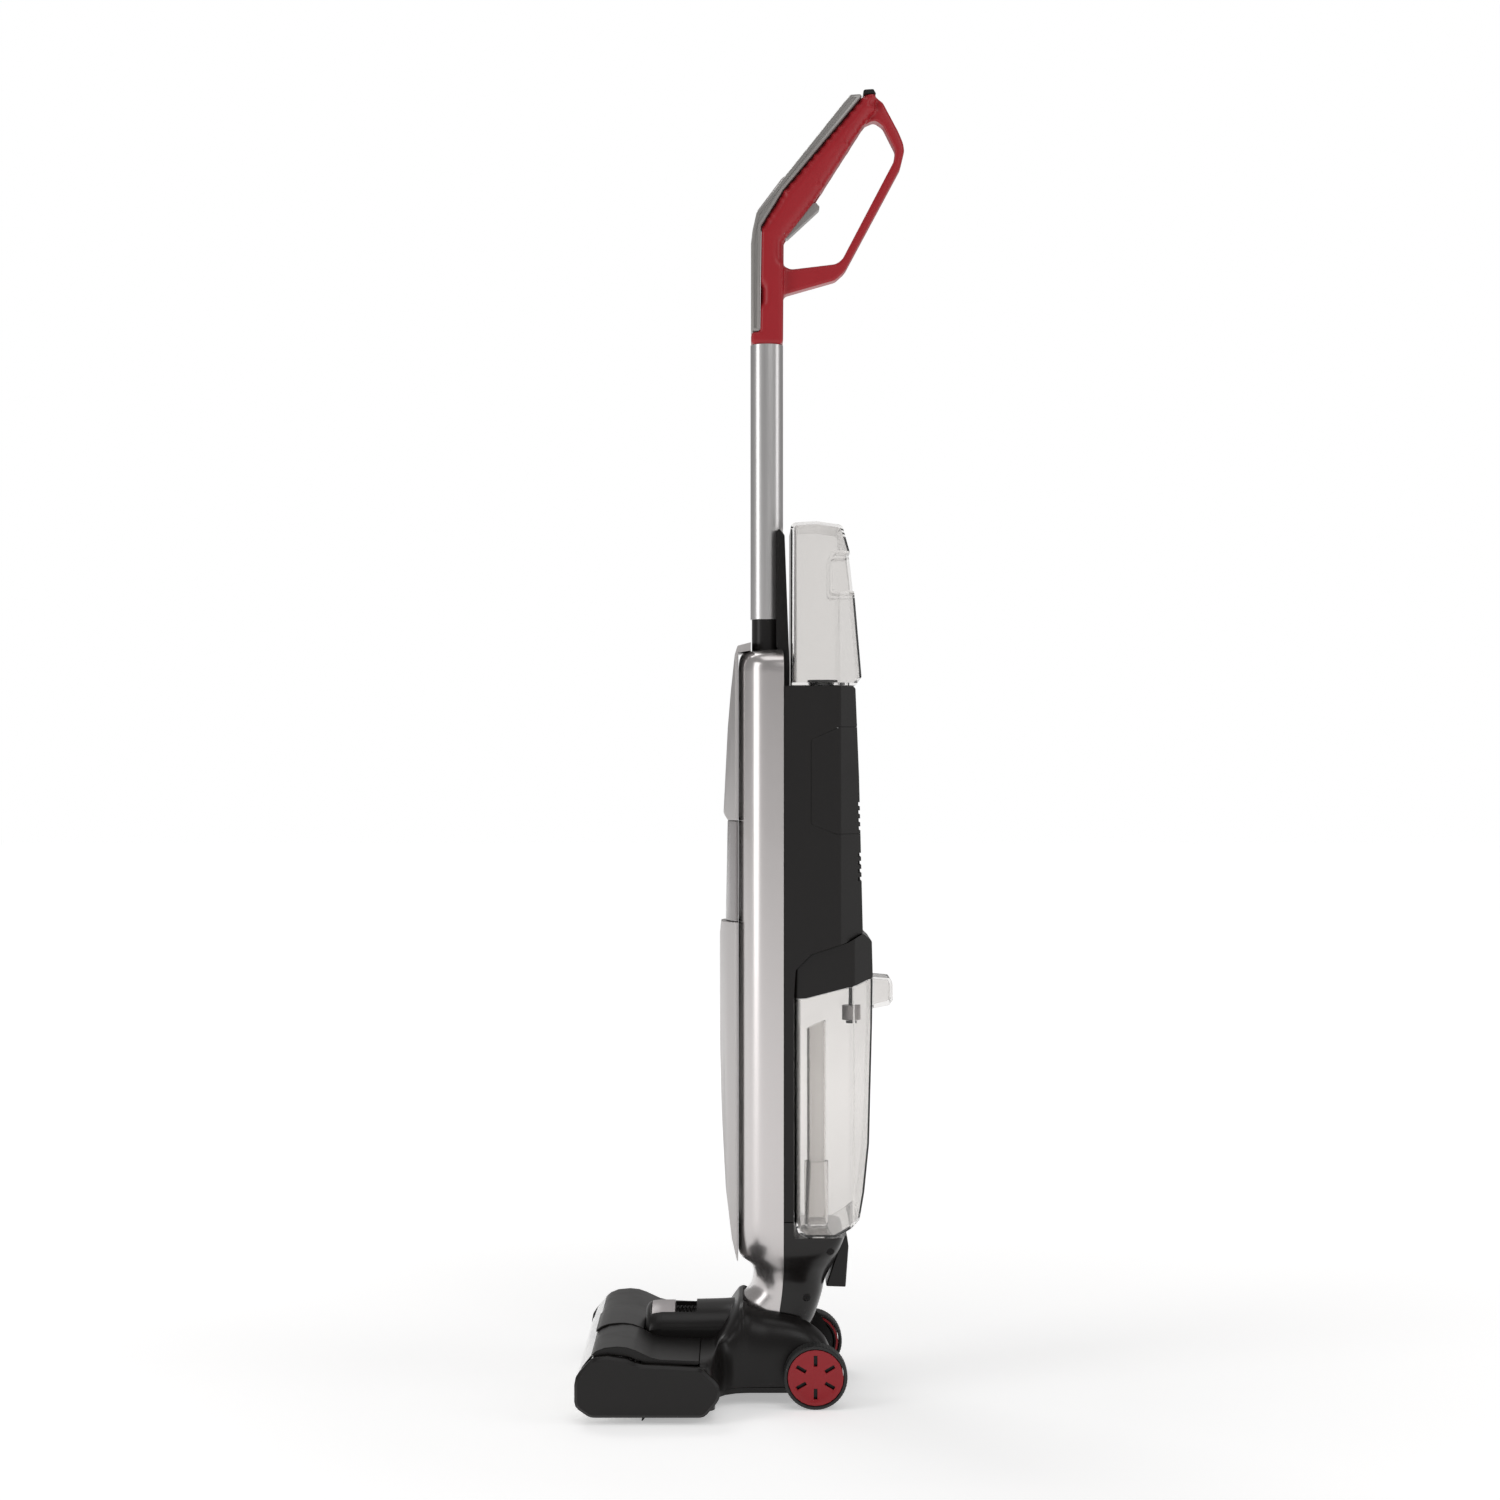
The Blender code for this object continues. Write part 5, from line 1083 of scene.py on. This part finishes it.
class SCRUBBER_OT_wheels(bpy.types.Operator):
    """Grooved tyres on dished red hubs"""
    bl_idname = "scrubber.wheels"
    bl_label = "Wheels"

    def execute(self, context):
        for side, word in ((1, "left"), (-1, "right")):
            self.tyre(word)
            dress("wheel_hub_" + word, red_satin(), 0.35 * MM)
            self.shade_backing_plate(side, word)
        return {"FINISHED"}

    @staticmethod
    def shade_backing_plate(side, word):
        """Dished black plate inside the hub behind its slots: a dark sheet standing in as painted
        shade, so the slots read dark.
        """
        low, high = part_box("wheel_hub_" + word)
        middle = (low + high) / 2
        outline = ((67.6, 7.4), (67.6, 9.2), (70.2, 10.4), (70.2, 19.4), (67.6, 20.6),
                   (67.6, 21.6), (79.6, 21.6), (79.6, 7.4))
        # painted shade: a black plate put where the inside of the hub is only in shadow
        plate = ring("wheel_plate_" + word, len(outline), 1)
        for vertex, (x, radius) in zip(plate.data.vertices, outline):
            vertex.co = Vector((side * x * MM, middle.y, middle.z + radius * MM))
        with editing(plate):
            bpy.ops.mesh.spin(steps=72, angle=math.tau, center=middle, axis=(1, 0, 0))
        face_out(plate)
        round_edges(plate, 0.4 * MM, 2, 40)
        plate.data.materials.append(black_satin())
        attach(plate, "wheel_" + word)

    @staticmethod
    def tyre(word):
        """Squared-off tyre with cross grooves cut into both shoulders of its tread."""
        low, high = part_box("tyre_" + word)
        middle = (low + high) / 2
        outer, rim = (high.z - low.z) / 2, 24.3 * MM
        half_width, half_height = (high.x - low.x) / 2, (outer - rim) / 2
        centre = middle + Vector((0, 0, (outer + rim) / 2))
        tyre = ring("tyre_fine_" + word, 28, 1, centre, (math.pi / 2, 0, 0))
        for vertex in tyre.data.vertices:
            offset = vertex.co - centre
            turn = math.atan2(offset.z, offset.x)
            vertex.co = centre + Vector((half_width * rounded(math.cos(turn), 0.30), 0,
                                         half_height * rounded(math.sin(turn), 0.45)))
        ribs, tread, groove_depth = sizes().tread_ribs, 0.4 * MM, 0.7 * MM
        with editing(tyre):
            bpy.ops.mesh.spin(steps=ribs * 4, angle=math.tau, center=middle, axis=(1, 0, 0))
        face_out(tyre)
        for vertex in tyre.data.vertices:
            spoke = Vector((0, vertex.co.y - middle.y, vertex.co.z - middle.z))
            across = abs(vertex.co.x - middle.x) / half_width
            if spoke.length > outer - tread and across > 0.35:
                wave = math.cos(math.atan2(spoke.z, spoke.y) * ribs)
                vertex.co -= spoke.normalized() * groove_depth * max(0.0, wave - 0.35)
        smooth(tyre, 40)
        hand_over(tyre, "tyre_" + word, rubber())


class SCRUBBER_OT_workings(bpy.types.Operator):
    """Motors, pump, duct, belt and board inside the casings"""
    bl_idname = "scrubber.workings"
    bl_label = "Workings"

    def execute(self, context):
        for node in ("vacuum_motor", "water_pump", "brush_motor", "motor_pulley"):
            paint(node, steel())
        for node in ("fan_housing", "neck_duct", "battery_case"):
            paint(node, black_satin())
        paint("impeller", button_satin())
        paint("drive_belt", rubber())
        paint("control_board", circuit_board())
        paint("water_tube", clear_plastic())
        return {"FINISHED"}


# ---------------------------------------------------------------- stage
def softbox(name, place, target, width, height, power):
    """Rectangular studio light that faces a point."""
    lamp = bpy.data.lights.new(name, "AREA")
    lamp.shape = "RECTANGLE"
    lamp.size = width
    lamp.size_y = height
    lamp.energy = power
    holder = bpy.data.objects.new(name, lamp)
    bpy.context.scene.collection.objects.link(holder)
    holder.location = place
    holder.visible_camera = False
    holder.visible_transmission = False
    holder.rotation_euler = (Vector(target) - Vector(place)).to_track_quat("-Z", "Y").to_euler()


def studio_world():
    """White backdrop to the eye and through clear parts, dimmer and a touch warmer as a light
    source.
    """
    world = bpy.data.worlds.new("studio")
    bpy.context.scene.world = world
    world.use_nodes = True
    tree = world.node_tree
    tree.nodes.clear()
    output = tree.nodes.new("ShaderNodeOutputWorld")
    mixed = tree.nodes.new("ShaderNodeMixShader")
    path = tree.nodes.new("ShaderNodeLightPath")
    direct = tree.nodes.new("ShaderNodeMath")
    direct.operation = "MAXIMUM"
    for index, ray in enumerate(("Is Camera Ray", "Is Transmission Ray")):
        tree.links.new(path.outputs[ray], direct.inputs[index])
    tree.links.new(direct.outputs[0], mixed.inputs[0])
    as_light, as_seen = (0.33, (1, 0.99, 0.985, 1)), (1.0, (1, 1, 1, 1))
    for index, (strength, colour) in enumerate((as_light, as_seen), start=1):
        background = tree.nodes.new("ShaderNodeBackground")
        background.inputs["Strength"].default_value = strength
        background.inputs["Color"].default_value = colour
        tree.links.new(background.outputs[0], mixed.inputs[index])
    tree.links.new(mixed.outputs[0], output.inputs["Surface"])


class SCRUBBER_OT_stage(bpy.types.Operator):
    """Pale floor that glows by itself, dimmer round the scrubber as painted shade; soft lights and
    the camera
    """
    bl_idname = "scrubber.stage"
    bl_label = "Stage"

    def execute(self, context):
        deselect()
        bpy.ops.mesh.primitive_plane_add(size=30, location=(0, 0, 0))
        floor = fresh("floor")
        sheet = Sheet("pale_floor", Roughness=0.9, Emission_Strength=1.0)
        cloud = sheet.noise(1.5, 3.0)
        tint = sheet.mix(cloud, (0.84, 0.84, 0.84, 1), (0.88, 0.88, 0.88, 1))
        # painted light and shade: the floor glows by itself, dimmer within 0.35 m of the middle
        # where the scrubber stands and brighter out to 2.2 m
        distance = sheet.node("ShaderNodeVectorMath", {"operation": "LENGTH"}, {0: sheet.place}, 1)
        away = sheet.ramp(distance, 0.35, 2.2)
        painted_floor_glow = sheet.mix(away, (0.38, 0.38, 0.38, 1), (0.72, 0.72, 0.72, 1))
        floor.data.materials.append(sheet.feed(Base_Color=tint, Emission_Color=painted_floor_glow))
        studio_world()
        softbox("key", (1.5, -2.3, 1.3), (0, 0, 0.6), 1.2, 2.4, 20)
        softbox("side_fill", (2.4, 0.9, 2.2), (0, 0, 0.6), 1.2, 1.2, 9)
        softbox("rear_fill", (0.9, 2.7, 1.4), (0, 0, 0.6), 1.2, 2.2, 11)
        softbox("far_fill", (-2.2, -1.2, 2.9), (0, 0, 0.6), 1.4, 1.0, 16)
        softbox("top", (0.3, 0, 3.2), (0, 0, 0.4), 1.8, 1.8, 12)
        camera_data = bpy.data.cameras.new("camera")
        camera_data.sensor_width = 36.0
        camera_data.lens = 69.4
        camera = bpy.data.objects.new("camera", camera_data)
        context.scene.collection.objects.link(camera)
        camera.location = (2.565, 0.00545, 0.566)
        camera.rotation_euler = (math.pi / 2, 0, math.pi / 2)
        context.scene.camera = camera
        context.scene.view_settings.view_transform = "Standard"
        return {"FINISHED"}


# ---------------------------------------------------------------- panel and registration
STEPS = (SCRUBBER_OT_bright_shell, SCRUBBER_OT_front_panels, SCRUBBER_OT_rear_body,
         SCRUBBER_OT_neck, SCRUBBER_OT_tanks, SCRUBBER_OT_handle, SCRUBBER_OT_head_shell,
         SCRUBBER_OT_head, SCRUBBER_OT_roller, SCRUBBER_OT_wheels, SCRUBBER_OT_workings,
         SCRUBBER_OT_stage)


class SCRUBBER_PT_sidebar(bpy.types.Panel):
    """Sizes, colours and steps of the floor scrubber"""
    bl_idname = "SCRUBBER_PT_sidebar"
    bl_label = "Floor scrubber"
    bl_space_type = "VIEW_3D"
    bl_region_type = "UI"
    bl_category = "Scrubber"

    def draw(self, context):
        for group in (context.scene.scrubber_sizes, context.scene.scrubber_colours):
            box = self.layout.box()
            for name in group.__annotations__:
                box.prop(group, name)
        for step in STEPS:
            self.layout.operator(step.bl_idname)


CLASSES = (ScrubberSizes, ScrubberColours, *STEPS, SCRUBBER_PT_sidebar)


def register():
    for item in CLASSES:
        bpy.utils.register_class(item)
    bpy.types.Scene.scrubber_sizes = bpy.props.PointerProperty(type=ScrubberSizes)
    bpy.types.Scene.scrubber_colours = bpy.props.PointerProperty(type=ScrubberColours)


def unregister():
    del bpy.types.Scene.scrubber_colours
    del bpy.types.Scene.scrubber_sizes
    for item in reversed(CLASSES):
        bpy.utils.unregister_class(item)


def main():
    register()
    for step in STEPS:
        group, name = step.bl_idname.split(".")
        getattr(getattr(bpy.ops, group), name)()


if __name__ == "__main__":
    main()
